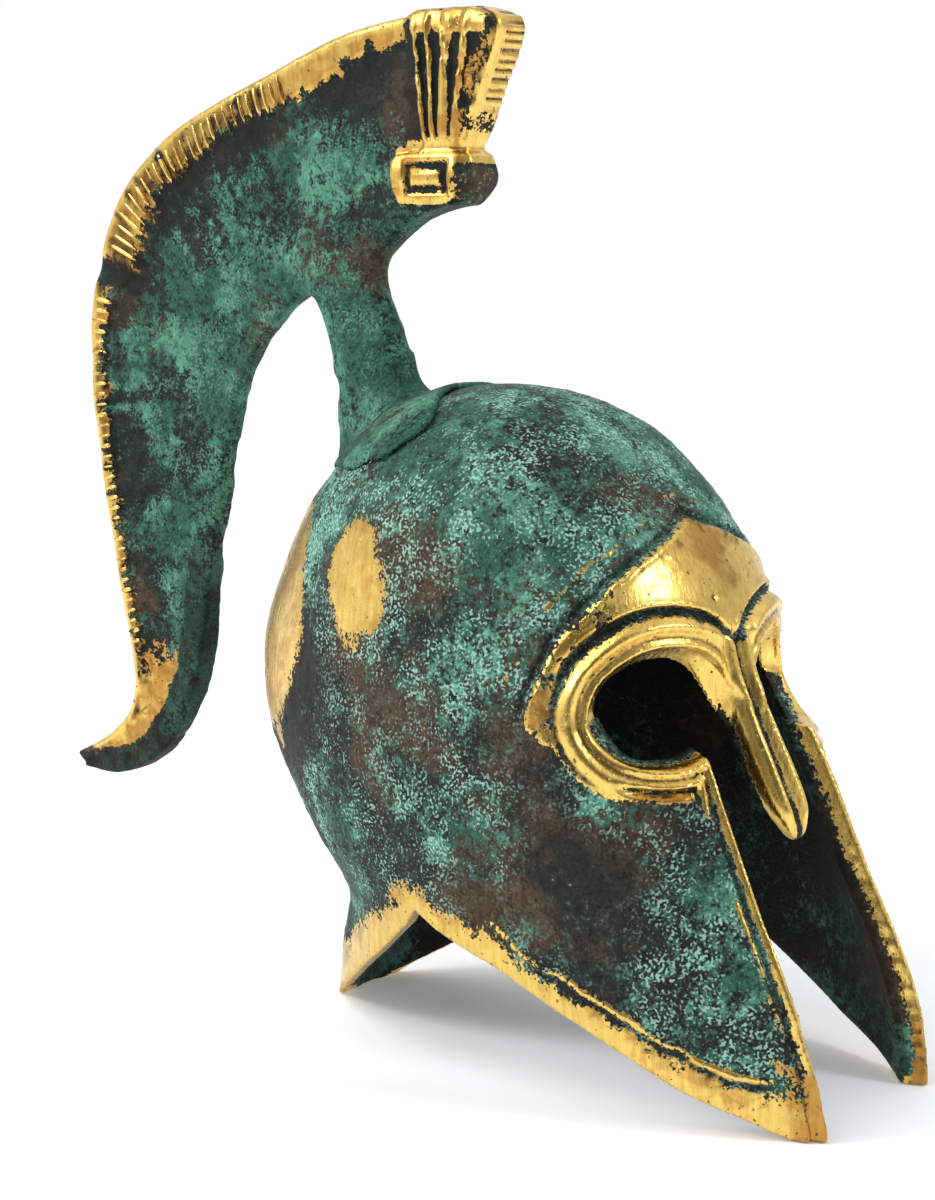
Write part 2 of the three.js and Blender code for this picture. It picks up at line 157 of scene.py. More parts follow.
def route_distance(points: np.ndarray, route: np.ndarray) -> tuple[np.ndarray, np.ndarray]:
    """Finds how near points lie to a route of straight pieces.

    Args:
        points: one point in each row.
        route: the corners of the route, one in each row.

    Returns:
        Each point's distance from the route, and its nearest place as a share of the
        route's length.
    """
    best = np.full(len(points), 1e9)
    along = np.zeros(len(points))
    lengths = np.maximum(np.linalg.norm(np.diff(route, axis=0), axis=1), 1e-6)
    start = 0.0
    for a, b, length in zip(route[:-1], route[1:], lengths):
        towards = (b - a) / length
        reach = np.clip((points - a) @ towards, 0, length)
        gap = np.sum((points - a - reach[:, None] * towards) ** 2, axis=1)
        nearer = gap < best
        best[nearer] = gap[nearer]
        along[nearer] = (start + reach[nearer]) / lengths.sum()
        start += length
    return np.sqrt(best), along


def inside(points: np.ndarray, outline: np.ndarray) -> np.ndarray:
    """Tells which flat points lie within a closed outline."""
    within = np.zeros(len(points), bool)
    for a, b in zip(outline, np.roll(outline, -1, axis=0)):
        crosses = (a[1] > points[:, 1]) != (b[1] > points[:, 1])
        if a[1] != b[1]:
            edge = a[0] + (points[:, 1] - a[1]) * (b[0] - a[0]) / (b[1] - a[1])
            within ^= crosses & (points[:, 0] < edge)
    return within


def outline_distance(points: np.ndarray, outline: np.ndarray) -> np.ndarray:
    """Distance of flat points from a closed outline, less than 0 within it."""
    gap, _ = route_distance(points, np.vstack([outline, outline[:1]]))
    return np.where(inside(points, outline), -gap, gap)


def mirrored(half: np.ndarray) -> np.ndarray:
    """Map of both sides from its left half, whose first column lies on the middle line."""
    return np.hstack([half[:, :0:-1], half])


def cell_corners(t: np.ndarray) -> Iterator[tuple[tuple[int, ...], np.ndarray]]:
    """Gives each corner of a cell with its share in places t within the cell."""
    sides = [(1 - t[..., axis], t[..., axis]) for axis in range(t.shape[-1])]
    for corner in np.ndindex(*(2,) * len(sides)):
        weight = sides[0][corner[0]]
        for side, end in zip(sides[1:], corner[1:]):
            weight = weight * side[end]
        yield corner, weight


@dataclass(frozen=True)
class Grain:
    """Smooth noise of about -1 to 1 in space."""

    seed: int
    size: float
    octaves: int = 3
    cells: int = 32

    def at(self, points: np.ndarray) -> np.ndarray:
        """Noise at points given as an array whose last axis is X, Y, Z."""
        rng = np.random.default_rng(self.seed)
        lattice = rng.random((self.cells,) * 3, np.float32) * 2 - 1
        total = np.zeros(points.shape[:-1], np.float32)
        for octave in range(self.octaves):
            place = (points * (2**octave / self.size) + 7.3 * octave).astype(np.float32)
            low = np.floor(place).astype(np.int32)
            t = place - low
            for corner, weight in cell_corners(t * t * (3 - 2 * t)):
                x, y, z = ((low[..., axis] + end) % self.cells for axis, end in enumerate(corner))
                total += weight * lattice[x, y, z] / 2**octave
        return total


@dataclass(frozen=True)
class Block:
    """Box of regularly spaced places in which a casting's field is worked out."""

    low: tuple[float, float, float]
    high: tuple[float, float, float]
    step: float

    def axes(self) -> list[np.ndarray]:
        """Places along X, Y and Z."""
        return [np.arange(a, b + self.step, self.step) for a, b in zip(self.low, self.high)]


def true_distance(level: np.ndarray, step: float) -> np.ndarray:
    """Turns any level field into a distance near its zero surface."""
    steep = np.sqrt(sum(part * part for part in np.gradient(level, step)))
    return level / np.maximum(steep, 1e-3)


def sample(values: np.ndarray, place: np.ndarray) -> np.ndarray:
    """Reads an array between its entries.

    Args:
        values: array of two or three axes.
        place: one row for each reading, with its place along each axis in entries.

    Returns:
        The blended value at each place.
    """
    top = np.array(values.shape) - 2
    low = np.clip(np.floor(place).astype(int), 0, top)
    total = np.zeros(len(place))
    for corner, weight in cell_corners(np.clip(place - low, 0, 1)):
        total += weight * values[tuple((low + np.array(corner)).T)]
    return total


def draw_skin(level: np.ndarray, block: Block) -> tuple[np.ndarray, np.ndarray]:
    """Draws the zero surface of a field as a mesh of four-sided faces.

    Args:
        level: the field, less than 0 in the metal.
        block: where the field's entries lie.

    Returns:
        The corners in millimetres and the faces, which point out of the metal.
    """
    metal = level < 0
    cells = tuple(n - 1 for n in level.shape)
    count = np.zeros(cells, np.int8)
    for corner in np.ndindex(2, 2, 2):
        count += metal[tuple(slice(c, c + n) for c, n in zip(corner, cells))]
    mixed = (count > 0) & (count < 8)
    number = np.full(cells, -1, np.int64)
    number[mixed] = np.arange(mixed.sum())
    place = skin_corners(level, np.argwhere(mixed))
    return place * block.step + np.array(block.low), skin_faces(metal, number)


def skin_corners(level: np.ndarray, base: np.ndarray) -> np.ndarray:
    """Sets one corner in each cell that a field's zero surface runs through.

    Args:
        level: the field, less than 0 in the metal.
        base: the first entry of each such cell.

    Returns:
        The corners' places, in entries.
    """
    total = np.zeros((len(base), 3))
    crossings = np.zeros(len(base))
    corners = list(np.ndindex(2, 2, 2))
    values = {c: level[tuple((base + np.array(c)).T)] for c in corners}
    for a in corners:
        for axis in range(3):
            if a[axis]:
                continue
            b = tuple(1 if i == axis else c for i, c in enumerate(a))
            va, vb = values[a], values[b]
            crossed = (va < 0) != (vb < 0)
            share = np.where(crossed, va / np.where(crossed, va - vb, 1), 0)
            place = np.tile(np.array(a, float), (len(base), 1))
            place[:, axis] = share
            total[crossed] += place[crossed]
            crossings += crossed
    place = base + total / crossings[:, None]
    for _ in range(SURFACE_STEPS):
        place -= step_to_surface(level, place)
    return place


def skin_faces(metal: np.ndarray, number: np.ndarray) -> np.ndarray:
    """Joins the corners of the four cells round each line that enters or leaves the metal.

    Args:
        metal: which entries of the field lie in the metal.
        number: the number of each cell's corner.

    Returns:
        The numbers of each face's corners, in turn so that it points out of the metal.
    """
    cells = number.shape
    faces = []
    for axis in range(3):
        ahead = tuple(slice(1, None) if i == axis else slice(None) for i in range(3))
        behind = tuple(slice(None, -1) if i == axis else slice(None) for i in range(3))
        changes = np.argwhere(metal[ahead] != metal[behind])
        one, two = [i for i in range(3) if i != axis]
        room = (changes[:, one] > 0) & (changes[:, two] > 0)
        room &= (changes[:, one] < cells[one]) & (changes[:, two] < cells[two])
        changes = changes[room]
        around = []
        for back_one, back_two in ((1, 1), (0, 1), (0, 0), (1, 0)):
            cell = changes.copy()
            cell[:, one] -= back_one
            cell[:, two] -= back_two
            around.append(number[tuple(cell.T)])
        quad = np.stack(around, axis=1)
        outward = metal[tuple(changes.T)]
        if axis == 1:
            outward = ~outward
        quad[~outward] = quad[~outward][:, ::-1]
        faces.append(quad)
    return np.vstack(faces)


def step_to_surface(level: np.ndarray, place: np.ndarray) -> np.ndarray:
    """Short move, in entries, that takes each place closer to a field's zero surface."""
    reach = 0.5
    slope = np.zeros_like(place)
    for axis in range(3):
        aside = np.zeros(3)
        aside[axis] = reach
        slope[:, axis] = sample(level, place + aside) - sample(level, place - aside)
    value = sample(level, place)
    steep = np.maximum(np.sum(slope * slope, axis=1), 1e-8)
    return np.clip((value / steep)[:, None] * slope, -0.4, 0.4)


def new_object(name: str, data: bpy.types.ID) -> bpy.types.Object:
    """Makes an object and links it to the scene."""
    made = bpy.data.objects.new(name, data)
    bpy.context.scene.collection.objects.link(made)
    return made


def make_mesh(name: str, points: np.ndarray, faces: np.ndarray) -> bpy.types.Object:
    """Makes a smooth-shaded object.

    Args:
        name: the object's name.
        points: its corners, in millimetres from the cheek tips.
        faces: the numbers of each face's corners.

    Returns:
        The object, linked to the scene, in metres in the shared frame.
    """
    sides = faces.shape[1]
    mesh = bpy.data.meshes.new(name)
    mesh.vertices.add(len(points))
    placed = (points - np.array([0, HALF_LENGTH, 0])) * MM
    mesh.vertices.foreach_set("co", placed.astype(np.float32).ravel())
    mesh.loops.add(faces.size)
    mesh.loops.foreach_set("vertex_index", faces.ravel().astype(np.int32))
    mesh.polygons.add(len(faces))
    mesh.polygons.foreach_set("loop_start", np.arange(0, faces.size, sides, dtype=np.int32))
    mesh.polygons.foreach_set("use_smooth", np.ones(len(faces), bool))
    mesh.update(calc_edges=True)
    mesh.validate()
    return new_object(name, mesh)


def settle(made: bpy.types.Object) -> bpy.types.Object:
    """Turns an object's modifiers into its own plain mesh and removes them."""
    graph = bpy.context.evaluated_depsgraph_get()
    mesh = bpy.data.meshes.new_from_object(made.evaluated_get(graph))
    made.modifiers.clear()
    old = made.data
    made.data = mesh
    mesh.name = made.name
    bpy.data.meshes.remove(old)
    return made


def thin_out(made: bpy.types.Object) -> bpy.types.Object:
    """Joins faces where the skin is flat until the piece is light enough."""
    triangles = sum(len(p.vertices) - 2 for p in made.data.polygons)
    if triangles > MOST_TRIANGLES:
        modifier = made.modifiers.new("thin_out", "DECIMATE")
        modifier.ratio = MOST_TRIANGLES / triangles
        settle(made)
    return made


def corners_of(made: bpy.types.Object) -> np.ndarray:
    """Corners of an object in millimetres from the cheek tips."""
    places = np.zeros(len(made.data.vertices) * 3, np.float32)
    made.data.vertices.foreach_get("co", places)
    return places.reshape(-1, 3) / MM + np.array([0, HALF_LENGTH, 0])


def store(made: bpy.types.Object, wear: Wear, values: np.ndarray) -> None:
    """Stores a number on each corner of a piece for its finish to read."""
    layer = made.data.attributes.new(wear.value, "FLOAT", "POINT")
    layer.data.foreach_set("value", np.clip(values, 0, 1).astype(np.float32))


# Node trees


@dataclass
class Wiring:
    """Small helpers to wire up a node tree."""

    tree: bpy.types.NodeTree

    def add(self, kind: str) -> bpy.types.Node:
        """Adds a node."""
        return self.tree.nodes.new(kind)

    def link(self, giver: bpy.types.NodeSocket, taker: bpy.types.NodeSocket) -> None:
        """Joins an output to an input."""
        self.tree.links.new(giver, taker)

    def stored(self, wear: Wear) -> bpy.types.NodeSocket:
        """Reads a number stored on the piece's corners, in a material."""
        node = self.add("ShaderNodeAttribute")
        node.attribute_name = wear.value
        return node.outputs["Fac"]

    def named(self, name: str, kind: str) -> bpy.types.NodeSocket:
        """Reads an attribute of the geometry, in a geometry node tree."""
        node = self.add("GeometryNodeInputNamedAttribute")
        node.data_type = kind
        node.inputs["Name"].default_value = name
        return node.outputs["Attribute"]

    def noise(
        self, place: bpy.types.NodeSocket, scale: float, detail: float, rough: float
    ) -> bpy.types.NodeSocket:
        """Noise of 0 to 1 over the object's own coordinates, in metres."""
        node = self.add("ShaderNodeTexNoise")
        node.inputs["Scale"].default_value = scale
        node.inputs["Detail"].default_value = detail
        node.inputs["Roughness"].default_value = rough
        self.link(place, node.inputs["Vector"])
        return node.outputs["Fac"]

    def maths(self, kind: str, first: object, second: object) -> bpy.types.NodeSocket:
        """Joins two numbers or sockets by an operation."""
        node = self.add("ShaderNodeMath")
        node.operation = kind
        for socket, value in zip(node.inputs, (first, second)):
            if isinstance(value, (int, float)):
                socket.default_value = value
            else:
                self.link(value, socket)
        return node.outputs[0]

    def sum(self, first: object, second: object) -> bpy.types.NodeSocket:
        """Adds two values."""
        return self.maths("ADD", first, second)

    def product(self, first: object, second: object) -> bpy.types.NodeSocket:
        """Multiplies two values."""
        return self.maths("MULTIPLY", first, second)

    def scaled(self, value: bpy.types.NodeSocket, scale: float, shift: float) -> bpy.types.NodeSocket:
        """Value times a scale, plus a shift."""
        return self.sum(self.product(value, scale), shift)

    def ramp(self, value: bpy.types.NodeSocket, low: float, high: float) -> bpy.types.NodeSocket:
        """Eased rise from 0 at low to 1 at high."""
        node = self.add("ShaderNodeMapRange")
        node.interpolation_type = "SMOOTHSTEP"
        node.inputs["From Min"].default_value = low
        node.inputs["From Max"].default_value = high
        self.link(value, node.inputs["Value"])
        return node.outputs["Result"]

    def blend(self, share: bpy.types.NodeSocket, first: object, second: object) -> bpy.types.NodeSocket:
        """Goes from the first colour to the second by a share of 0 to 1."""
        node = self.add("ShaderNodeMix")
        node.data_type = "RGBA"
        self.link(share, node.inputs[0])
        for socket, value in ((node.inputs[6], first), (node.inputs[7], second)):
            if isinstance(value, tuple):
                socket.default_value = (*value, 1)
            else:
                self.link(value, socket)
        return node.outputs[2]

    def multiply_colour(
        self, colour: bpy.types.NodeSocket, share: bpy.types.NodeSocket
    ) -> bpy.types.NodeSocket:
        """Darkens or lightens a colour."""
        node = self.add("ShaderNodeVectorMath")
        node.operation = "SCALE"
        self.link(colour, node.inputs[0])
        self.link(share, node.inputs["Scale"])
        return node.outputs[0]


# Forms


@dataclass
class SkullForm:
    """Outer skin of the skull, from the cheek tips to the crown."""

    crown_top: float = 57.7
    crown_y: float = 38.1
    front_power: float = 2.36
    rear_power: float = 1.89
    widest_at_base: float = 11.5
    widest_at_top: float = 2.0
    ring_steps: int = 1600
    table_turns: int = 721
    halvings: int = 24
    # height, reach forward and back of the crown's axis, half width
    sections: Rows = (
        (-4, 41.9, 19.6, 14.2),
        (0, 41.1, 18.4, 14.8),
        (6, 39.8, 17.0, 15.8),
        (12, 36.9, 15.8, 16.7),
        (18, 33.3, 20.7, 17.5),
        (26, 29.6, 25.8, 18.5),
        (34, 26.2, 27.5, 19.2),
        (42, 26.0, 26.5, 20.2),
        (50, 24.6, 24.9, 22.6),
        (57.7, 23.5, 23.5, 24.0),
    )

    def closing(self, heights: np.ndarray) -> np.ndarray:
        """Share of its full width that the skull keeps at each height."""
        share = np.clip(heights / self.crown_top, 0, 1)
        return np.sqrt(1 - share**4)

    def widest(self, heights: float | np.ndarray) -> float | np.ndarray:
        """How far ahead of the crown's axis the skull is widest at each height."""
        return self.widest_at_base + (self.widest_at_top - self.widest_at_base) * heights / self.crown_top

    def reach(self, heights: np.ndarray, turns: np.ndarray) -> np.ndarray:
        """Works out how far the skin lies from the crown's axis before the crown closes.

        Args:
            heights: heights over the rest plane.
            turns: angles from the middle of the face, from 0 to half a turn.

        Returns:
            One row for each height, with the reach at each turn.
        """
        round_the_ring = np.linspace(0, HALF_TURN, self.ring_steps)
        across, along = np.sin(round_the_ring), np.cos(round_the_ring)
        power = 2 / np.where(along > 0, self.front_power, self.rear_power)
        rows = []
        for z in heights:
            front, rear, half = (column(self.sections, i, np.array([z]))[0] for i in (1, 2, 3))
            ahead = self.widest(z)
            x = half * np.abs(across) ** power
            length = np.where(along > 0, front - ahead, rear + ahead)
            y = -ahead - length * np.sign(along) * np.abs(along) ** power
            rows.append(np.interp(turns, np.arctan2(x, -y), np.hypot(x, y)))
        return np.array(rows)

    def distance(self, axes: list[np.ndarray], step: float) -> np.ndarray:
        """Distance from the skin at every place of a block, less than 0 within it."""
        x, y, z = axes
        across, along = np.meshgrid(x, y - self.crown_y, indexing="ij")
        turn = np.arctan2(np.abs(across), -along)
        away = np.hypot(across, along)
        turns = np.linspace(0, HALF_TURN, self.table_turns)
        table = self.reach(z, turns)
        level = np.empty((len(x), len(y), len(z)), np.float32)
        for layer, height in enumerate(z):
            share = away / np.interp(turn, turns, table[layer])
            rise = max(height, 0) / self.crown_top
            level[:, :, layer] = share**2 + rise**4 - 1
        return true_distance(level, step)

    def points(self, heights: np.ndarray, turns: np.ndarray) -> np.ndarray:
        """Points of the skin at each height and signed turn, as rows by columns by XYZ."""
        half = np.linspace(0, HALF_TURN, self.table_turns)
        table = self.reach(heights, half) * self.closing(heights)[:, None]
        away = np.array([np.interp(np.abs(turns), half, row) for row in table])
        x = away * np.sin(turns)
        y = self.crown_y - away * np.cos(turns)
        return np.stack([x, y, np.broadcast_to(heights[:, None], x.shape)], axis=-1)

    def face_points(self, rows: np.ndarray) -> np.ndarray:
        """Points of the face's skin over places given across and up, in the front view."""
        out = []
        for x, z in rows:
            closing = self.closing(np.array([z]))[0]
            front, half = (column(self.sections, i, np.array([z]))[0] for i in (1, 3))
            ahead = self.widest(z)
            share = min(abs(x) / (half * closing), 0.9999)
            bulge = (1 - share**self.front_power) ** (1 / self.front_power)
            out.append((x, self.crown_y - closing * (ahead + (front - ahead) * bulge), z))
        return np.array(out)

    def height_over(self, x: np.ndarray, y: np.ndarray) -> np.ndarray:
        """Height of the crown over places in plan."""
        low, high = np.full(x.shape, 20.0), np.full(x.shape, self.crown_top)
        for _ in range(self.halvings):
            z = (low + high) / 2
            closing = np.maximum(self.closing(z), 1e-4)
            front, rear, half = (column(self.sections, i, z) for i in (1, 2, 3))
            ahead = self.widest(z)
            offset = y - self.crown_y + ahead * closing
            power = np.where(offset < 0, self.front_power, self.rear_power)
            length = np.where(offset < 0, front - ahead, rear + ahead) * closing
            level = (np.abs(x) / (half * closing)) ** power + (np.abs(offset) / length) ** power
            low = np.where(level < 1, z, low)
            high = np.where(level < 1, high, z)
        return low


@dataclass
class HelmetShell:
    """Skull, neck guard, cheek guards, nasal guard and the rims of the face: one casting."""

    skull: SkullForm
    wall: float = 1.8
    step: float = 0.26
    # along and up, in the side view
    lower_edge: Rows = (
        (2.2, 0), (5.4, 1.5), (10.1, 3.2), (18.9, 7.6), (26.9, 11.2), (33.0, 13.2),
        (35.6, 14.4), (37.2, 12.6), (42.6, 8.4), (49.7, 3.4), (53.6, 0.9), (54.6, 0),
    )
    # across and up, in the front view
    cheek_edge: Rows = ((8.0, -6), (7.9, 1), (8.5, 7), (8.4, 14), (8.1, 20), (7.9, 26))
    eye_edge: Rows = (
        (7.6, 29.6), (10.0, 28.9), (13.0, 29.2), (14.3, 30.9), (14.3, 33.2), (13.0, 35.8),
        (10.0, 37.6), (6.0, 37.6), (3.2, 36.2), (1.0, 32.5),
    )
    face_rim: Rows = (
        (1.9, 37.9), (5.0, 39.1), (9.2, 39.2), (12.8, 37.5), (15.4, 34.6), (16.5, 31.6),
        (15.3, 28.7), (12.0, 27.9), (9.6, 27.6), (9.0, 24.5), (9.3, 19), (9.6, 13),
        (9.6, 6), (9.0, 0.9),
    )
    brow_ridge: Rows = (
        (17.0, 32.0), (16.2, 35.3), (14.8, 38.8), (12.2, 42.0), (7.9, 44.7), (0, 47.5),
    )
    under_brow: Rows = ((0, 34.0), (14.0, 29.0), (16.6, 30.6))
    # distance from the opening, rise over the skin
    rim_over_eye: Rows = (
        (0, 0.15), (0.45, 0.62), (0.85, 0.4), (1.2, 0.42), (1.95, 0.98), (2.6, 0.5),
        (3.1, -0.35), (3.6, 0.0), (4.0, 0.0),
    )
    rim_at_corner: Rows = (
        (0, 0.15), (0.5, 0.42), (0.95, 0.36), (1.7, 0.85), (2.5, 0.62), (3.3, 0.05), (4.0, 0.0),
    )
    rim_under_eye: Rows = (
        (0, 0.2), (0.35, 0.62), (0.8, 0.2), (1.1, 0.2), (1.5, 0.58), (2.05, -0.25),
        (2.6, 0.35), (3.2, 0.0), (4.0, 0.0),
    )
    rim_down_cheek: Rows = (
        (0, 0.2), (0.45, 0.62), (1.1, 0.0), (1.75, 0.45), (2.4, 0.0), (4.0, 0.0),
    )
    # height, front, half width, depth
    nasal: Rows = (
        (21.7, 7.5, 0.7, 1.1), (22.6, 7.3, 1.4, 1.8), (24.4, 7.9, 2.1, 2.4),
        (27.2, 9.2, 2.2, 2.8), (30.7, 11.0, 2.0, 2.9), (34.2, 12.9, 1.8, 2.9),
        (36.4, 14.3, 1.5, 2.6), (38.2, 15.4, 1.1, 2.2),
    )
    # along the lower edge, width of the bright band over it
    lower_band: Rows = (
        (0, 3.6), (3, 2.8), (6, 2.3), (14, 2.2), (22, 2.0), (28, 2.9), (33, 2.2), (38, 2.2),
        (46, 3.4), (56, 3.6),
    )
    # signed turn of the middle, height, half turn, half height of each rubbed patch
    rubbed: Rows = (
        (-1.80, 42.0, 0.27, 5.8), (-2.66, 36.8, 0.42, 11.5), (2.62, 37.4, 0.42, 11.0),
        (1.80, 41.0, 0.24, 5.0),
    )
    # how far along and up the lines of the face are measured, and how far along a hole can lie
    face_end: float = 34.0
    face_top: float = 53.0
    hole_end: float = 30.0
    pit_count: int = 450
    map_turns: int = 1441
    maps: dict[str, np.ndarray] = field(default_factory=dict)
    block: Block = field(init=False)
    turns: np.ndarray = field(init=False)
    heights: np.ndarray = field(init=False)
    skin: np.ndarray = field(init=False)

    def __post_init__(self) -> None:
        """Lays out the rows and columns of the maps over the unrolled skin."""
        self.block = Block((-19.2, -0.8, -0.8), (19.2, 66.4, 58.6), self.step)
        self.turns = np.linspace(-HALF_TURN, HALF_TURN, self.map_turns)
        self.heights = self.block.axes()[2]

    def measure(self) -> None:
        """Measures the left half of the skin against the face's lines and mirrors it."""
        turns = self.turns[len(self.turns) // 2 :]
        skin = self.skull.points(self.heights, turns)
        shape = skin.shape[:2]
        flat = skin.reshape(-1, 3)
        ahead = (flat[:, 1] < self.face_end) & (flat[:, 2] < self.face_top)
        near = flat[ahead]
        edge = np.vstack([np.array(self.cheek_edge), smooth_route(self.eye_edge, 5)])
        gap, _ = route_distance(near, self.skull.face_points(edge))
        hole = inside(near[:, [0, 2]], np.vstack([edge, [(-0.2, 31.0), (-0.2, -6)]]))
        hole &= near[:, 1] < self.hole_end
        brow = smooth_route(self.brow_ridge, 5)
        brow_gap, _ = route_distance(near, self.skull.face_points(brow))
        plate = inside(near[:, [0, 2]], np.vstack([brow, np.array(self.under_brow)]))
        _, along = route_distance(near, self.skull.face_points(smooth_route(self.face_rim, 4)))
        found = {
            "opening": (np.where(hole, -gap, gap), FAR),
            "below_brow": (np.where(plate, brow_gap, -brow_gap), -FAR),
            "rim_place": (along, 0.0),
        }
        for name, (values, elsewhere) in found.items():
            whole = np.full(len(flat), elsewhere)
            whole[ahead] = values
            self.maps[name] = mirrored(whole.reshape(shape))
        lower = self.over_lower_edge(flat[:, 1], flat[:, 2]).reshape(shape)
        self.maps["over_lower"] = mirrored(lower)

    def rim_shares(self) -> dict[str, np.ndarray]:
        """How much each stretch of the rim shapes each place of the maps."""
        place = self.maps["rim_place"]
        corner, under = smooth_step(0.23, 0.31, place), smooth_step(0.42, 0.48, place)
        cheek = smooth_step(0.535, 0.59, place)
        return {
            "over_eye": 1 - corner,
            "at_corner": corner * (1 - under),
            "under_eye": under * (1 - cheek),
            "down_cheek": cheek,
        }

    def rim_gap(self) -> np.ndarray:
        """Distance from the opening, with the rim a little narrower at the eye's outer end."""
        return self.maps["opening"] + 0.28 * smooth_step(0.1, 0.25, self.maps["rim_place"])

    def edge_line(
        self, along: np.ndarray, ragged: np.ndarray, coarse: np.ndarray
    ) -> tuple[np.ndarray, np.ndarray]:
        """Works out the torn line that runs above the bright lower band.

        Args:
            along: places along.
            ragged: fine noise.
            coarse: broad noise.

        Returns:
            The line and the groove under it, from 0 to 1.
        """
        gap = self.maps["over_lower"] - column(self.lower_band, 1, along)
        there = smooth_step(2.5, 5, along) * (1 - smooth_step(24, 29, along))
        waver = 0.8 + 0.35 * coarse + 0.22 * ragged
        return bump(gap, waver, 0.55) * there, bump(gap, waver - 0.55, 0.42) * there

    def draw_maps(self) -> None:
        """Works out the relief, the lean of the opening's wall and the wear of the skin."""
        self.measure()
        maps = self.maps
        skin = self.skull.points(self.heights, self.turns)
        across, along, up = np.abs(skin[..., 0]), skin[..., 1], skin[..., 2]
        shares = self.rim_shares()
        opening, place = maps["opening"], maps["rim_place"]
        ragged = Grain(21, 1.7).at(skin)
        coarse = Grain(22, 5.0, 2).at(skin)
        below = maps["below_brow"] + 0.22 * ragged
        stroke_place = np.stack([place * 260, opening * 0.35, 0 * up], axis=-1)
        strokes = Grain(24, 1.0, 2).at(stroke_place)
        rim_gap = self.rim_gap()
        rim = (
            shares["over_eye"] * column(self.rim_over_eye, 1, rim_gap)
            + shares["at_corner"] * column(self.rim_at_corner, 1, opening)
            + shares["under_eye"] * column(self.rim_under_eye, 1, opening + 0.12 * coarse)
            + shares["down_cheek"] * column(self.rim_down_cheek, 1, opening)
        )
        clear = smooth_step(3.25, 3.6, rim_gap)
        plate = smooth_step(-0.1, 0.3, below) * clear
        at_brow = smooth_step(31.5, 35, up)
        brow = (
            0.3 * plate
            + 0.16 * plate * bump(below, 0.4, 0.45)
            + 0.16 * plate * bump(opening, 3.8, 0.45)
            + at_brow * (0.26 * bump(below, -1.05, 0.45) + 0.12 * bump(below, -2.2, 0.5))
            - 0.34 * at_brow * bump(below, -0.42, 0.38)
        )
        # a fault that is left as it is: nothing here limits the ridges of the nose's bridge to
        # the face, so they also stand on the middle line of the rear, from 30 to 39 mm up
        nose = (1 - smooth_step(1.9, 2.6, across)) * (1 - smooth_step(37.4, 39.4, up))
        nose = nose * smooth_step(30, 32, up) * (opening > 0)
        ridges = 0.62 * bump(across, 1.15, 0.85) + 0.25 - 0.75 * bump(across, 0, 0.55)
        relief = rim + brow
        relief = relief + nose * (ridges - relief)
        over = maps["over_lower"]
        line, groove = self.edge_line(along, ragged, coarse)
        relief = relief + 0.3 * line - 0.16 * groove

        polish, crevice, stain = self.draw_wear(skin, shares, plate, below, ragged, coarse)
        crevice = np.maximum(crevice, nose * bump(across, 0, 0.5))
        rough = 1 - 0.8 * polish
        pits = self.pits(skin, polish)
        relief = relief + 0.14 * Grain(3, 7.5).at(skin) * (1 - 0.6 * plate)
        relief = relief + 0.075 * rough * Grain(4, 1.9).at(skin) * (1 - 0.5 * (opening < 3))
        relief = relief + rough * 0.055 * Grain(5, 0.8, 2).at(skin)
        relief = relief + 0.035 * strokes * shares["at_corner"] * bump(opening, 1.9, 1.3)
        wall_polish = 0.7 + 1.3 * shares["over_eye"] - 0.55 * shares["at_corner"]
        wall_polish = wall_polish - 0.2 * shares["under_eye"] - 0.2 * shares["down_cheek"]
        wall_polish = np.where(opening < 4, wall_polish, 0.6)
        wall_polish = np.where(over < 0.8, 1.55, wall_polish)
        lean = 0.28 + 0.45 * shares["over_eye"]
        lean = lean + 0.6 * shares["over_eye"] * (1 - smooth_step(2.5, 7.5, across))
        lean = lean + 0.75 * shares["at_corner"]
        green = 0.42 + 0.34 * Grain(11, 9.0, 2).at(skin) + 0.28 * smooth_step(38, 47, up)
        green = green - 0.36 * bump(up, 31, 11) * smooth_step(16, 26, along)
        maps["relief"] = relief - pits
        maps["lean"] = lean
        maps["wall_polish"] = wall_polish
        maps[Wear.POLISH.value] = polish
        maps[Wear.CREVICE.value] = np.clip(crevice + 3.2 * pits, 0, 1)
        maps[Wear.VERDIGRIS.value] = np.clip(green, 0, 1)
        maps[Wear.STAIN.value] = np.clip(stain, 0, 1)

    def draw_wear(
        self,
        skin: np.ndarray,
        shares: dict[str, np.ndarray],
        plate: np.ndarray,
        below: np.ndarray,
        ragged: np.ndarray,
        coarse: np.ndarray,
    ) -> tuple[np.ndarray, np.ndarray, np.ndarray]:
        """Works out where the skin is rubbed bright, dark in its hollows and tarnished.

        Args:
            skin: points of the skin.
            shares: how much each stretch of the rim shapes each place.
            plate: share of each place that lies on the brow plate.
            below: distance below the ridge of the brow.
            ragged: fine noise that frays the edges of the bright places.
            coarse: broad noise.

        Returns:
            The polish, the crevices and the stain, from 0 to 1.
        """
        across, along, up = np.abs(skin[..., 0]), skin[..., 1], skin[..., 2]
        opening = self.maps["opening"]
        rim_gap = self.rim_gap()
        frayed = opening + 0.2 * ragged
        over_eye = 1 - smooth_step(2.6, 2.8, rim_gap)
        at_corner = 1 - smooth_step(3.0, 3.5, frayed)
        under_eye = 1 - smooth_step(1.7, 1.95, frayed)
        under_eye = under_eye + bump(frayed + 0.3 * coarse, 2.5, 0.7) * smooth_step(-0.6, 0, coarse)
        broken = smooth_step(-0.25, 0.25, coarse + 0.5 * ragged + 0.35) * smooth_step(6, 13, up)
        cheek = 1 - smooth_step(0.7, 1.0, opening) + broken * bump(opening, 1.72, 0.4)
        rim = (
            shares["over_eye"] * over_eye
            + shares["at_corner"] * at_corner
            + shares["under_eye"] * under_eye
            + shares["down_cheek"] * cheek
        )
        over = self.maps["over_lower"]
        width = column(self.lower_band, 1, along)
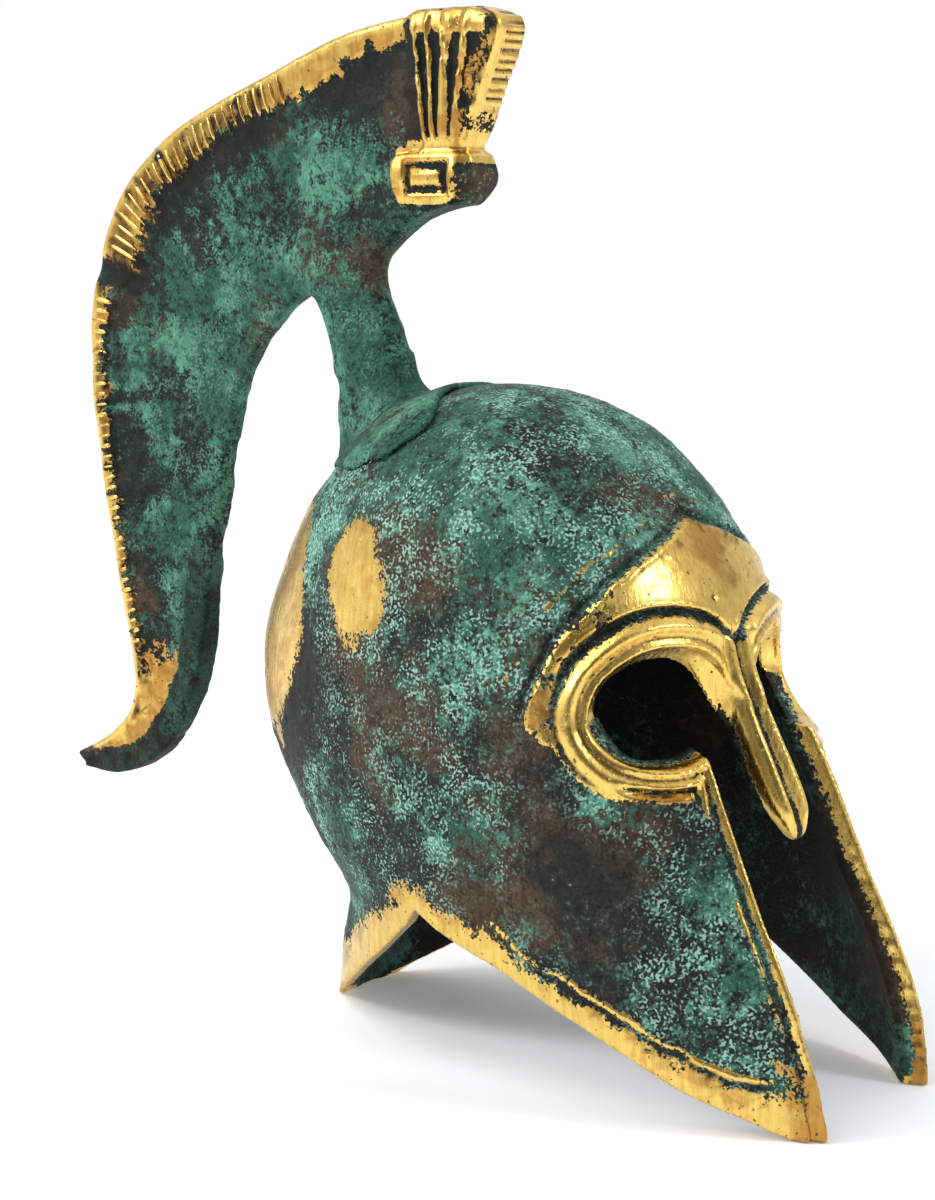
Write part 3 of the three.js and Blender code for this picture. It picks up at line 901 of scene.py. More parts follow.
        tip = 1 - smooth_step(0, 4, along)
        fringe = np.stack([along * 1.1 + 0.9 * over, over * 0.5, skin[..., 0] * 0.4], axis=-1)
        fringe = Grain(27, 0.9, 2).at(fringe)
        band = 1 - smooth_step(-1.1, 1.0, over - width - 0.4 * ragged - 0.4 * coarse - 0.5 * fringe)
        line, groove = self.edge_line(along, ragged, coarse)
        line = line * (0.55 + 0.45 * smooth_step(-0.4, 0.3, fringe + 0.4 * coarse))
        facet = (1 - smooth_step(4.5, 8.0, up + ragged)) * (1 - smooth_step(1.9, 3.2, frayed))
        turn = np.broadcast_to(self.turns, up.shape)
        strip = 1 - 0.22 * smooth_step(9, 13, across)
        polish = np.maximum.reduce([rim, plate * strip, band, line, 0.62 * facet])
        for middle, height, half_turn, half_height in self.rubbed:
            away = np.hypot((turn - middle) / half_turn, (up - height) / half_height)
            patch = 1 - smooth_step(0.72, 1.1, away + 0.1 * ragged + 0.12 * coarse)
            polish = np.maximum(polish, patch)
        ridge = 0.4 * bump(below, -2.2, 0.35) * (up > 35) * (1 - smooth_step(0.3, 0.6, coarse))
        polish = np.maximum(polish, ridge)

        near_eye = shares["over_eye"] + shares["at_corner"]
        crevice = bump(rim_gap, 3.12, 0.48) * near_eye
        crevice = crevice * (1 - smooth_step(0.40, 0.44, self.maps["rim_place"]))
        crevice = crevice + 0.85 * bump(opening, 1.0, 0.36) * near_eye
        crevice = crevice + shares["under_eye"] * (
            0.85 * bump(opening, 0.95, 0.38) + bump(frayed, 2.08, 0.34)
        )
        crevice = crevice + shares["down_cheek"] * (1 - tip) * bump(opening, 1.12, 0.42)
        crevice = crevice + 0.9 * bump(below, -0.42, 0.42) * (up > 33)
        spots = smooth_step(0.35, 0.7, Grain(26, 0.8, 2).at(skin))
        crevice = crevice + 0.8 * spots * band * smooth_step(-1.8, -0.2, over - width)
        crevice = crevice + 0.55 * smooth_step(0.1, 0.6, fringe) * band * smooth_step(0.5, 2, over)
        crevice = crevice + 0.85 * groove * smooth_step(-0.5, 0.2, ragged + coarse + 0.3)
        crevice = crevice + 0.7 * spots * plate * (1 - 0.7 * smooth_step(0.6, 3.5, below))

        stain = 0.85 * plate * smooth_step(9, 13.5, across) * (0.6 + 0.5 * ragged)
        middle_stain = np.hypot((skin[..., 0] - 0.6) / 2.6, (up - 43.6) / 3.2) + 0.35 * ragged
        stain = stain + 0.9 * plate * (1 - smooth_step(0.5, 1.15, middle_stain))
        stain = stain + band * (0.22 + 0.5 * smooth_step(-1.6, 0.3, over - width))
        stain = stain + 0.9 * facet + 0.9 * shares["under_eye"] * smooth_step(2.0, 2.6, opening)
        stain = stain + 0.4 * (opening > 8) * (up > 20)
        stain = stain + 0.5 * bump(opening, 1.0, 0.45) * near_eye
        return np.clip(polish, 0, 1), np.clip(crevice, 0, 1), stain

    def pits(self, skin: np.ndarray, polish: np.ndarray) -> np.ndarray:
        """Depth of the casting pits over the skin, with most of them where it is bright."""
        rng = np.random.default_rng(8)
        depth = np.zeros(skin.shape[:2])
        rows, columns = depth.shape
        reach_rows, reach_columns = 4, 24
        for _ in range(self.pit_count):
            row = int(rng.integers(reach_rows, int(rows * 0.86)))
            middle = int(rng.integers(reach_columns, columns - reach_columns))
            size = rng.uniform(0.16, 0.42) if rng.random() < 0.8 else rng.uniform(0.4, 0.7)
            if rng.random() > 0.25 + 0.75 * polish[row, middle]:
                continue
            part = (
                slice(row - reach_rows, row + reach_rows + 1),
                slice(middle - reach_columns, middle + reach_columns + 1),
            )
            gap = np.linalg.norm(skin[part] - skin[row, middle], axis=-1)
            hollow = 0.42 * size * (1 - smooth_step(0, size, gap))
            depth[part] = np.maximum(depth[part], hollow)
        return depth

    def over_lower_edge(self, y: np.ndarray, z: np.ndarray) -> np.ndarray:
        """Distance over the helmet's lower edge in the side view, less than 0 below it."""
        edge = np.array(self.lower_edge)
        outline = np.vstack([[(-30, -30), (-30, 0)], edge, [(90, 0), (90, -30)]])
        points = np.stack([y.ravel(), z.ravel()], axis=1)
        return outline_distance(points, outline).reshape(y.shape)

    def over_skin(self, name: str, points: np.ndarray) -> np.ndarray:
        """Reads a map of the skin at points in space."""
        turn = np.arctan2(points[:, 0], self.skull.crown_y - points[:, 1])
        column_place = (turn + HALF_TURN) / (2 * HALF_TURN) * (len(self.turns) - 1)
        row_place = (points[:, 2] - self.heights[0]) / self.step
        return sample(self.maps[name], np.stack([row_place, column_place], axis=1))

    def nasal_guard(self, axes: list[np.ndarray]) -> np.ndarray:
        """Distance from the nasal guard, with two ridges and a groove down its front."""
        x, y, z = axes
        lowest, highest = self.nasal[0][0], self.nasal[-1][0]
        front, half, depth = (column(self.nasal, i, z) for i in (1, 2, 3))
        lean = 0.9
        across = np.abs(x)[:, None, None] / half
        groove = np.interp(across, [0, 0.2, 0.55, 0.72, 1.0], [0.36, 0.26, 0, 0.05, 0.42])
        closing = smooth_step(22.2, 24.4, z)
        behind = y[None, :, None] - front
        face = ((0.3 + (groove - 0.3) * closing) * depth - behind) * lean
        back = (behind - depth) * lean
        side = np.abs(x)[:, None, None] - half * (1 - 0.1 * np.clip(behind / depth, 0, 1))
        level = smooth_max(smooth_max(face, back, 0.25), side, 0.3)
        ends = np.abs(z - (lowest + highest) / 2) - (highest - lowest) / 2
        return smooth_max(level, np.broadcast_to(ends * lean, level.shape), 0.4)

    def whole_field(self) -> np.ndarray:
        """Distance field of the whole casting."""
        axes = self.block.axes()
        x, y, z = axes
        self.skin = self.skull.distance(axes, self.step)
        across, along = np.meshgrid(x, y - self.skull.crown_y, indexing="ij")
        turn = np.arctan2(across, -along)
        metal = np.empty_like(self.skin)
        for layer in range(len(z)):
            skin = self.skin[:, :, layer]
            relief, opening, lean = (
                np.interp(turn, self.turns, self.maps[name][layer])
                for name in ("relief", "opening", "lean")
            )
            outside = skin - relief * smooth_step(-1.2, -0.2, skin)
            flat = smooth_max(outside, -(skin + self.wall), 0.3)
            slope = lean * np.clip(-skin - 0.2, 0, 2)
            metal[:, :, layer] = smooth_max(flat, -(opening + slope), 0.35)
        there = [np.flatnonzero(np.abs(x) < 3.6), np.flatnonzero(y < 24)]
        there.append(np.flatnonzero((z > 20) & (z < 41)))
        part = np.ix_(*there)
        guard = self.nasal_guard([axis[kept] for axis, kept in zip(axes, there)])
        metal[part] = smooth_min(metal[part], guard, 0.5)
        side_y, side_z = np.meshgrid(y, z, indexing="ij")
        lower = self.over_lower_edge(side_y, side_z)
        return smooth_max(metal, np.broadcast_to(-lower, metal.shape), 0.3)

    def build(self) -> bpy.types.Object:
        """Makes the casting's piece with its wear stored on it."""
        self.draw_maps()
        points, faces = draw_skin(self.whole_field(), self.block)
        points[:, 2] = np.maximum(points[:, 2], 0)
        made = thin_out(make_mesh("helmet_shell_cast", points, faces))
        points = corners_of(made)
        depth = sample(self.skin, (points - np.array(self.block.low)) / self.step)
        outer = smooth_step(-1.3, -0.7, depth)
        reach = self.over_skin("wall_polish", points)
        bright_wall = smooth_step(-0.55, 0.45, depth + reach)
        nose = (np.abs(points[:, 0]) < 2.6) & (points[:, 1] < 17.5)
        nose &= (points[:, 2] > 21) & (points[:, 2] < 37.5)
        front = column(self.nasal, 1, points[:, 2])
        groove = 1 - smooth_step(0.2, 0.55, np.abs(points[:, 0]))
        groove *= points[:, 1] < front + 1.4
        polish = self.over_skin(Wear.POLISH.value, points) * bright_wall
        rubbed_back = 1 - smooth_step(2.0, 2.6, points[:, 1] - front)
        store(made, Wear.POLISH, np.where(nose, rubbed_back * (1 - 0.4 * groove), polish))
        crevice = self.over_skin(Wear.CREVICE.value, points) * outer
        store(made, Wear.CREVICE, np.where(nose, 0.9 * groove, crevice))
        store(made, Wear.VERDIGRIS, self.over_skin(Wear.VERDIGRIS.value, points))
        side_stain = 0.3 * smooth_step(0.5, 1.6, points[:, 1] - front)
        stain = self.over_skin(Wear.STAIN.value, points) * outer
        store(made, Wear.STAIN, np.where(nose, side_stain, stain))
        # the side that faces the hollow, which the finish darkens as painted shade
        store(made, Wear.INNER_SHADE, 1 - outer)
        return made


@dataclass
class CrestOnStem:
    """Crest with its front lock and scroll, on a stem with a saddle foot: one casting."""

    skull: SkullForm
    step: float = 0.24
    # outer edge along and up, inner edge along and up, half thickness at each
    sections: Rows = (
        (43.4, 89.0, 43.6, 73.2, 2.3, 2.0), (48.0, 89.4, 48.2, 71.7, 2.4, 1.9),
        (56.1, 88.0, 54.0, 68.2, 2.4, 1.7), (63.6, 85.4, 59.0, 66.2, 2.4, 1.4),
        (71.3, 82.6, 63.0, 64.2, 2.4, 1.0), (78.6, 79.2, 66.5, 61.1, 2.4, 0.8),
        (84.2, 74.6, 69.0, 57.8, 2.3, 0.8), (87.4, 69.0, 70.6, 54.0, 2.2, 0.8),
        (89.1, 62.5, 71.8, 49.6, 2.2, 0.9), (89.3, 55.7, 72.6, 45.2, 2.2, 1.0),
        (88.4, 48.0, 73.7, 40.4, 2.1, 1.3), (86.9, 39.7, 74.5, 35.4, 2.1, 1.5),
        (85.3, 32.0, 75.1, 30.6, 2.1, 1.7), (84.2, 27.0, 76.6, 26.0, 2.1, 1.8),
        (84.9, 23.4, 79.0, 21.4, 2.0, 1.7), (87.2, 20.8, 83.0, 17.7, 1.9, 1.6),
        (90.2, 18.9, 88.2, 15.7, 1.7, 1.4), (94.2, 17.1, 93.4, 15.6, 1.1, 1.0),
    )
    # section number, width of the band along the outer edge
    band_widths: Rows = (
        (0, 2.4), (1.5, 2.4), (2.4, 3.2), (4, 3.4), (6, 4.2), (7.0, 4.8), (7.7, 2.8),
        (9, 2.1), (11, 1.8), (13, 1.6), (17, 1.2),
    )
    # height, front, rear, half width of the front lock, its waist and its scroll
    lock: Rows = (
        (73.1, 42.2, 49.0, 2.2), (75.2, 40.8, 49.4, 2.75), (77.4, 41.2, 49.2, 2.5),
        (78.0, 41.8, 46.4, 2.1), (79.6, 41.2, 46.4, 2.5), (83.0, 39.8, 47.0, 2.65),
        (87.6, 37.9, 47.6, 2.75), (89.2, 38.2, 47.8, 2.6), (90.0, 40.2, 47.2, 2.1),
    )
    # height, front, rear, half thickness
    stem: Rows = (
        (59.5, 49.6, 58.0, 2.7), (63.0, 51.0, 59.4, 2.3), (66.0, 52.2, 61.4, 2.1),
        (68.5, 52.0, 62.8, 1.8), (71.5, 50.0, 63.0, 1.4),
    )
    # across and along, in plan
    foot_edge: Rows = (
        (0, 43.4), (5.5, 41.4), (9.8, 38.8), (12.4, 40.6), (12.6, 44.6), (10.6, 48.4),
        (6.6, 52.6), (2.8, 55.8), (0, 56.8),
    )
    # place along at the top and at the foot, half width of each rib of the lock
    lock_ribs: Rows = ((46.8, 45.9, 0.42), (45.2, 44.9, 0.4), (43.2, 43.8, 0.8), (41.0, 42.6, 0.55))
    foot_proud: float = 0.75
    break_at: float = 7.3
    notch_pitch: float = 0.8
    first_notch: float = 88.6
    # middle and half size, along and up, of the sunk panel in the scroll
    panel: Rows = ((45.5, 75.55), (2.5, 1.45))
    # place of the round pit in the stem
    stem_pit: tuple[float, float, float] = (-2.2, 54.3, 64.6)
    side: dict[str, np.ndarray] = field(default_factory=dict)
    block: Block = field(init=False)
    outer: np.ndarray = field(init=False)
    inner: np.ndarray = field(init=False)

    def __post_init__(self) -> None:
        """Lays out the block, the curves of the crest's two edges and the side maps."""
        self.block = Block((-14.2, 36.5, 14.8), (14.2, 95.2, 90.8), self.step)
        rows = np.array(self.sections)
        self.outer = smooth_route(rows[:, 0:2], 8)
        self.inner = smooth_route(rows[:, 2:4], 8)
        _, y, z = self.block.axes()
        self.measure(*np.meshgrid(y, z, indexing="ij"))

    def measure(self, y: np.ndarray, z: np.ndarray) -> None:
        """Works out the maps over the crest's side view.

        Args:
            y: places along.
            z: places up.
        """
        flat = np.stack([y.ravel(), z.ravel()], axis=1)
        edge = outline_distance(flat, np.vstack([self.outer, self.inner[::-1]]))
        from_outer, along = route_distance(flat, self.outer)
        from_inner, _ = route_distance(flat, self.inner)
        lengths = np.linalg.norm(np.diff(self.outer, axis=0), axis=1)
        places = np.concatenate([[0], np.cumsum(lengths)])
        run = along * places[-1]
        number = np.interp(run, places, np.linspace(0, len(self.sections) - 1, len(places)))
        share = from_outer / np.maximum(from_outer + from_inner, 1e-6)
        found = {"edge": edge, "from_outer": from_outer, "from_inner": from_inner}
        found |= {"run": run, "number": number, "share": share}
        found["width"] = column(self.band_widths, 1, number)
        self.side = {name: values.reshape(y.shape) for name, values in found.items()}
        where = np.stack([np.zeros_like(y), y, z], axis=-1)
        for name, across in (("half_right", -40.0), ("half_left", 40.0)):
            self.side[name] = self.half_thickness(where + [across, 0, 0])

    def half_thickness(self, where: np.ndarray) -> np.ndarray:
        """Half thickness of the crest over its side view, with the relief of one side."""
        maps = self.side
        rows = np.array(self.sections)
        numbers = np.arange(len(rows))
        outer_half, inner_half = (np.interp(maps["number"], numbers, rows[:, i]) for i in (4, 5))
        share, number = maps["share"], maps["number"]
        within = smooth_step(-0.3, 0.2, maps["from_outer"] - maps["width"])
        sunk = 0.42 * within * (1 - smooth_step(0.6, 1, share)) + 0.12 * (1 - within)
        streak_place = np.stack([maps["run"], maps["from_outer"] * 0.16, where[..., 0]], axis=-1)
        streaks = Grain(34, 1.1, 2).at(streak_place) * (1 - smooth_step(7, 12, maps["from_outer"]))
        relief = 0.13 * Grain(31, 4.5).at(where) + 0.16 * within * Grain(32, 1.9).at(where)
        relief = relief + within * (0.06 * Grain(33, 0.7, 2).at(where) + 0.12 * streaks)
        hollows = smooth_step(0.2, 0.6, Grain(35, 3.4, 2).at(where))
        relief = relief - 0.22 * hollows * within
        gash = bump(number, self.break_at, 0.3) * (1 - smooth_step(3.5, 6.5, maps["from_outer"]))
        facet = (1 - smooth_step(0, 3.2, maps["from_inner"])) * smooth_step(9, 11, number)
        half = outer_half + (inner_half - outer_half) * share - sunk
        return half + relief - 0.4 * gash - 0.45 * facet

    def panel_edge(self, y: np.ndarray, z: np.ndarray) -> np.ndarray:
        """Distance outside the scroll's sunk panel in the side view, less than 0 within it."""
        (middle_y, middle_z), (half_y, half_z) = self.panel
        return np.maximum(np.abs(y - middle_y) - half_y, np.abs(z - middle_z) - half_z)

    def lock_field(self, axes: list[np.ndarray]) -> np.ndarray:
        """Distance from the front lock with its ribs and notches, and from the scroll."""
        x, y, z = np.meshgrid(*axes, indexing="ij", sparse=True)
        front, rear, half = (column(self.lock, i, z) for i in (1, 2, 3))
        hair = smooth_step(78.6, 79.4, z)
        fan = (z - 79.2) / 9.2
        ribs = 0.0
        for top, foot, wide in self.lock_ribs:
            ribs = np.maximum(ribs, smooth_step(0, 0.5, bump(y, foot + (top - foot) * fan, wide)))
        where = np.stack(np.broadcast_arrays(x, y * 1.4, z * 0.7), axis=-1)
        holes = smooth_step(0.12, 0.45, Grain(36, 0.9, 2).at(where))
        notch = 0.5 + 0.5 * np.cos((z - self.first_notch) / self.notch_pitch * 2 * HALF_TURN)
        notch = smooth_step(0.5, 0.95, notch) * smooth_step(80.8, 81.6, z)
        notched = smooth_step(-0.9, -0.5, x) * (1 - smooth_step(1.9, 2.3, x))
        face = front + 0.34 * hair * notch * notched
        grooves = (1 - ribs) * hair * (1 - 0.75 * smooth_step(86.8, 88.4, z))
        side = np.abs(x) - half + 0.5 * grooves + 0.16 * hair * holes
        chamfer = (np.abs(x) - (half - 0.85) - (y - front) * 0.7) * 0.8
        edge = self.panel_edge(y, z)
        side = side + 0.5 * bump(edge, -0.4, 0.55) + 0.12 * (1 - smooth_step(-0.9, -0.5, edge))
        level = smooth_max(face - y, y - rear, 0.3)
        level = smooth_max(level, side, 0.22)
        level = smooth_max(level, chamfer, 0.2)
        return smooth_max(level, np.abs(z - 81.55) - 8.45, 0.5)

    def stem_field(self, axes: list[np.ndarray]) -> np.ndarray:
        """Distance from the stem, a flattened column that leans back."""
        x, y, z = np.meshgrid(*axes, indexing="ij", sparse=True)
        front, rear, half = (column(self.stem, i, z) for i in (1, 2, 3))
        level = (x / half) ** 2 + ((y - (front + rear) / 2) / ((rear - front) / 2)) ** 2 - 1
        level = true_distance(level, self.step)
        pit_x, pit_y, pit_z = self.stem_pit
        pit = np.sqrt((x - pit_x) ** 2 + (y - pit_y) ** 2 + (z - pit_z) ** 2)
        level = level + 0.5 * (1 - smooth_step(0.2, 0.7, pit))
        return smooth_max(level, np.abs(z - 64.5) - 7, 0.8)

    def foot_height(self, x: np.ndarray, y: np.ndarray) -> tuple[np.ndarray, np.ndarray]:
        """Works out the saddle foot in plan.

        Args:
            x: places across.
            y: places along.

        Returns:
            The height of its upper side, and the distance within its edge.
        """
        half_edge = smooth_route(self.foot_edge, 6)
        edge = np.vstack([half_edge, half_edge[::-1] * [-1, 1]])
        flat = np.stack([x.ravel(), y.ravel()], axis=1)
        within = -outline_distance(flat, edge)
        lowest, front, rear, half = self.stem[0]
        turns = np.linspace(0, 2 * HALF_TURN, 60, endpoint=False)
        middle, reach = (front + rear) / 2, (rear - front) / 2
        ring = np.stack([half * np.sin(turns), middle - reach * np.cos(turns)], axis=1)
        away = np.maximum(outline_distance(flat, ring), 0)
        step = away / np.maximum(away + np.maximum(within, 0), 1e-6)
        ahead = 0.5 - 0.5 * np.sin(np.arctan2(flat[:, 1] - middle, np.abs(flat[:, 0]) + 1e-6))
        fall = 2.3 + 2.7 * ahead
        ground = self.skull.height_over(flat[:, 0], flat[:, 1])
        top = ground + self.foot_proud
        top = top + (lowest - top) * (1 - step) ** fall
        return top.reshape(x.shape), within.reshape(x.shape)

    def whole_field(self) -> np.ndarray:
        """Distance field of the whole casting."""
        axes = self.block.axes()
        x, y, z = axes
        level = np.full([len(axis) for axis in axes], 1.0, np.float32)
        thin = np.flatnonzero(np.abs(x) < 4.6)
        right = (x[thin] < 0)[:, None, None]
        half = np.where(right, self.side["half_right"], self.side["half_left"])
        body = np.abs(x[thin])[:, None, None] - half
        body = smooth_max(body, np.broadcast_to(self.side["edge"], body.shape), 0.55)
        ahead = np.flatnonzero((y < 50.5))
        high = np.flatnonzero(z > 72)
        part = np.ix_(np.arange(len(thin)), ahead, high)
        lock = self.lock_field([x[thin], y[ahead], z[high]])
        body[part] = smooth_min(body[part], lock, 0.3)
        column_at = np.flatnonzero((y > 46) & (y < 67))
        column_up = np.flatnonzero((z > 56) & (z < 73))
        part = np.ix_(np.arange(len(thin)), column_at, column_up)
        stem_axes = [x[thin], y[column_at], z[column_up]]
        skin_noise = Grain(38, 2.4).at(np.stack(np.meshgrid(*stem_axes, indexing="ij"), axis=-1))
        stem = self.stem_field(stem_axes) - 0.12 * skin_noise
        body[part] = smooth_min(body[part], stem, 1.4)
        level[thin] = body
        low, flat = ((z > 44) & (z < 66)), ((y > 37) & (y < 60))
        foot_axes = [x, y[flat], z[low]]
        top, within = self.foot_height(*np.meshgrid(x, y[flat], indexing="ij"))
        steep = np.sqrt(1 + sum(part**2 for part in np.gradient(top, self.step)))
        steep = np.minimum(steep, 2.5)
        foot = (foot_axes[2] - top[:, :, None]) / steep[:, :, None]
        foot = smooth_max(foot, np.broadcast_to(-within[:, :, None] * 0.8, foot.shape), 0.35)
        ground = self.skull.distance(foot_axes, self.step)
        foot_where = np.stack(np.meshgrid(*foot_axes, indexing="ij"), axis=-1)
        foot = foot - 0.13 * Grain(37, 2.6).at(foot_where)
        part = np.ix_(np.arange(len(x)), np.flatnonzero(flat), np.flatnonzero(low))
        joined = smooth_min(level[part], foot, 1.0)
        level[part] = smooth_max(joined, 0.12 - ground, 0.15)
        return level

    def read_side(self, name: str, points: np.ndarray) -> np.ndarray:
        """Reads a map of the side view at points in space."""
        return sample(self.side[name], (points[:, 1:] - np.array(self.block.low[1:])) / self.step)

    def side_wear(self, points: np.ndarray) -> tuple[np.ndarray, np.ndarray, np.ndarray]:
        """Wear of the crest behind its front lock.

        Args:
            points: places on the casting.

        Returns:
            The polish, the crevices and the stain, from 0 to 1.
        """
        side = {name: self.read_side(name, points) for name in self.side}
        number, from_outer, width = side["number"], side["from_outer"], side["width"]
        ragged = Grain(41, 1.5).at(points)
        fringe = np.stack([side["run"] * 1.0, from_outer * 0.2, points[:, 0] * 0.2], axis=-1)
        fringe = Grain(43, 0.9, 2).at(fringe)
        inward = from_outer - width * (1 + 0.12 * ragged) + 0.75 * fringe + 0.3
        band = 1 - smooth_step(-0.7, 0.8, inward + 0.35 * fringe)
        half = np.where(points[:, 0] < 0, side["half_right"], side["half_left"])
        on_side = smooth_step(-0.5, -0.15, np.abs(points[:, 0]) - half)
        on_edge = (1 - smooth_step(0.15, 0.5, from_outer) * on_side) * (from_outer < 1.4)
        tail = smooth_step(12.2, 13.4, number + 0.6 * ragged)
        facet = smooth_step(2.4, 2.9, side["from_inner"] + 0.2 * ragged)
        tip = 1 - smooth_step(90.6, 92.2, points[:, 1] + 0.4 * ragged)
        gash = bump(number, self.break_at, 0.32) * (1 - smooth_step(5, 7, from_outer))
        polish = np.maximum.reduce([band, on_edge, tail * facet * tip]) * (1 - gash)
        polish = np.where(side["edge"] > 0.9, 0, polish)
        stripe = bump(inward, 1.6, 1.9) * (number < 9)
        crevice = 0.75 * stripe + 0.9 * gash + 0.75 * (1 - facet) * smooth_step(10, 12, number)
        crevice = crevice + 0.45 * smooth_step(0.2, 0.7, fringe) * band
        between = smooth_step(2.6, 3.1, number) * smooth_step(0.35, 0.8, from_outer)
        crevice = crevice + band * between * (0.58 + 0.4 * ragged)
        crevice = crevice + 0.6 * smooth_step(90.6, 92.2, points[:, 1])
        stain = (0.6 + 0.5 * smooth_step(0.0, 0.6, ragged)) * smooth_step(0.5, 1.1, from_outer)
        return polish, np.clip(crevice, 0, 1), np.clip(stain, 0, 1)

    def lock_wear(self, points: np.ndarray) -> tuple[np.ndarray, np.ndarray, np.ndarray]:
        """Wear of the front lock and the scroll under it.

        Args:
            points: places on the casting.

        Returns:
            The polish, the crevices and the stain, from 0 to 1.
        """
        x, y, z = points[:, 0], points[:, 1], points[:, 2]
        front, half = (column(self.lock, i, z) for i in (1, 3))
        ragged = Grain(44, 1.3).at(points)
        proud = np.abs(x) - half
        hair = smooth_step(78.4, 79.2, z)
        on_face = 1 - smooth_step(0.1, 0.4, y - front - 0.4)
        top = smooth_step(88.6, 89.3, z)
        bevel = (1 - on_face) * (1 - smooth_step(-0.42, -0.2, proud + 0.12 * (y - front - 1.2)))
        bevel = bevel * (y < front + 2.2) * (1 - top)
        ribs = smooth_step(-0.34, -0.14, proud + 0.14 * ragged)
        sides = ribs * (1 - smooth_step(47.0, 47.3, y))
        weathered = bump(z, 80.2, 1.6) * smooth_step(-0.5, 0.3, ragged + 0.4)
        sides = np.maximum(sides * (1 - bevel), 0.7 * bevel * smooth_step(-0.7, 0.1, ragged))
        polish = np.maximum(on_face * (1 - 0.65 * weathered), (1 - on_face) * sides)
        polish = np.maximum(polish, top * (1 - 0.5 * smooth_step(0.3, 0.7, ragged)))
        notch = smooth_step(0.1, 0.22, y - front) * on_face * smooth_step(81.0, 82.0, z)
        crevice = (1 - on_face) * (1 - sides) * (1 - top) * 0.8 + 0.85 * notch
        crevice = crevice * (1 - 0.5 * smooth_step(0.1, 0.6, ragged))
        edge = self.panel_edge(y, z)
        sunk = bump(edge + 0.15 * ragged, -0.4, 0.6) * (proud > -1.2)
        sunk = sunk * smooth_step(-0.9, -0.1, ragged)
        under = 1 - smooth_step(73.3, 74.0, z)
        nose = (1 - smooth_step(41.9, 42.8, y - 0.3 * ragged)) * (z < 76.8)
        scroll = (1 - 0.6 * sunk) * (1 - 0.9 * np.maximum(under * (np.abs(x) < 2.2), nose))
        box = 1 - hair
        polish = polish * hair + box * scroll
        crevice = crevice * hair + box * 0.95 * sunk
        stain = 0.45 + 0.5 * weathered + 0.35 * ragged + 0.5 * bevel
        return polish, np.clip(crevice, 0, 1), np.clip(stain * (1 - on_face * 0.6), 0, 1)

    def build(self) -> bpy.types.Object:
        """Makes the casting's piece with its wear stored on it."""
        points, faces = draw_skin(self.whole_field(), self.block)
        made = thin_out(make_mesh("crest_on_stem_cast", points, faces))
        points = corners_of(made)
        frayed = 48.2 + 0.5 * Grain(48, 1.2).at(points)
        reach = np.where(points[:, 2] < 78.2, 49.4, frayed)
        front = (points[:, 1] < reach) & (points[:, 2] > 72.6)
        wears = (Wear.POLISH, Wear.CREVICE, Wear.STAIN)
        for wear, on_lock, behind in zip(wears, self.lock_wear(points), self.side_wear(points)):
            store(made, wear, np.where(front, on_lock, np.where(points[:, 2] < 15, 0, behind)))
        green = 0.56 + 0.36 * Grain(42, 6.0).at(points)
        from_outer = self.read_side("from_outer", points)
        streaks = np.stack([self.read_side("run", points), from_outer * 0.13, points[:, 0] * 0.2])
        green = green + 0.3 * Grain(47, 1.1, 2).at(streaks.T) * (1 - smooth_step(8, 14, from_outer))
        green = green - 0.36 * (1 - smooth_step(3, 9, from_outer))
        green = green - 0.3 * (1 - smooth_step(50, 60, points[:, 1])) * (points[:, 2] > 72)
        green = green + 0.25 * (1 - smooth_step(64, 70, points[:, 2])) * (points[:, 1] < 64)
        store(made, Wear.VERDIGRIS, np.where(front, 0.1, np.clip(green, 0.05, 1)))
        store(made, Wear.INNER_SHADE, np.zeros(len(points)))
        return made


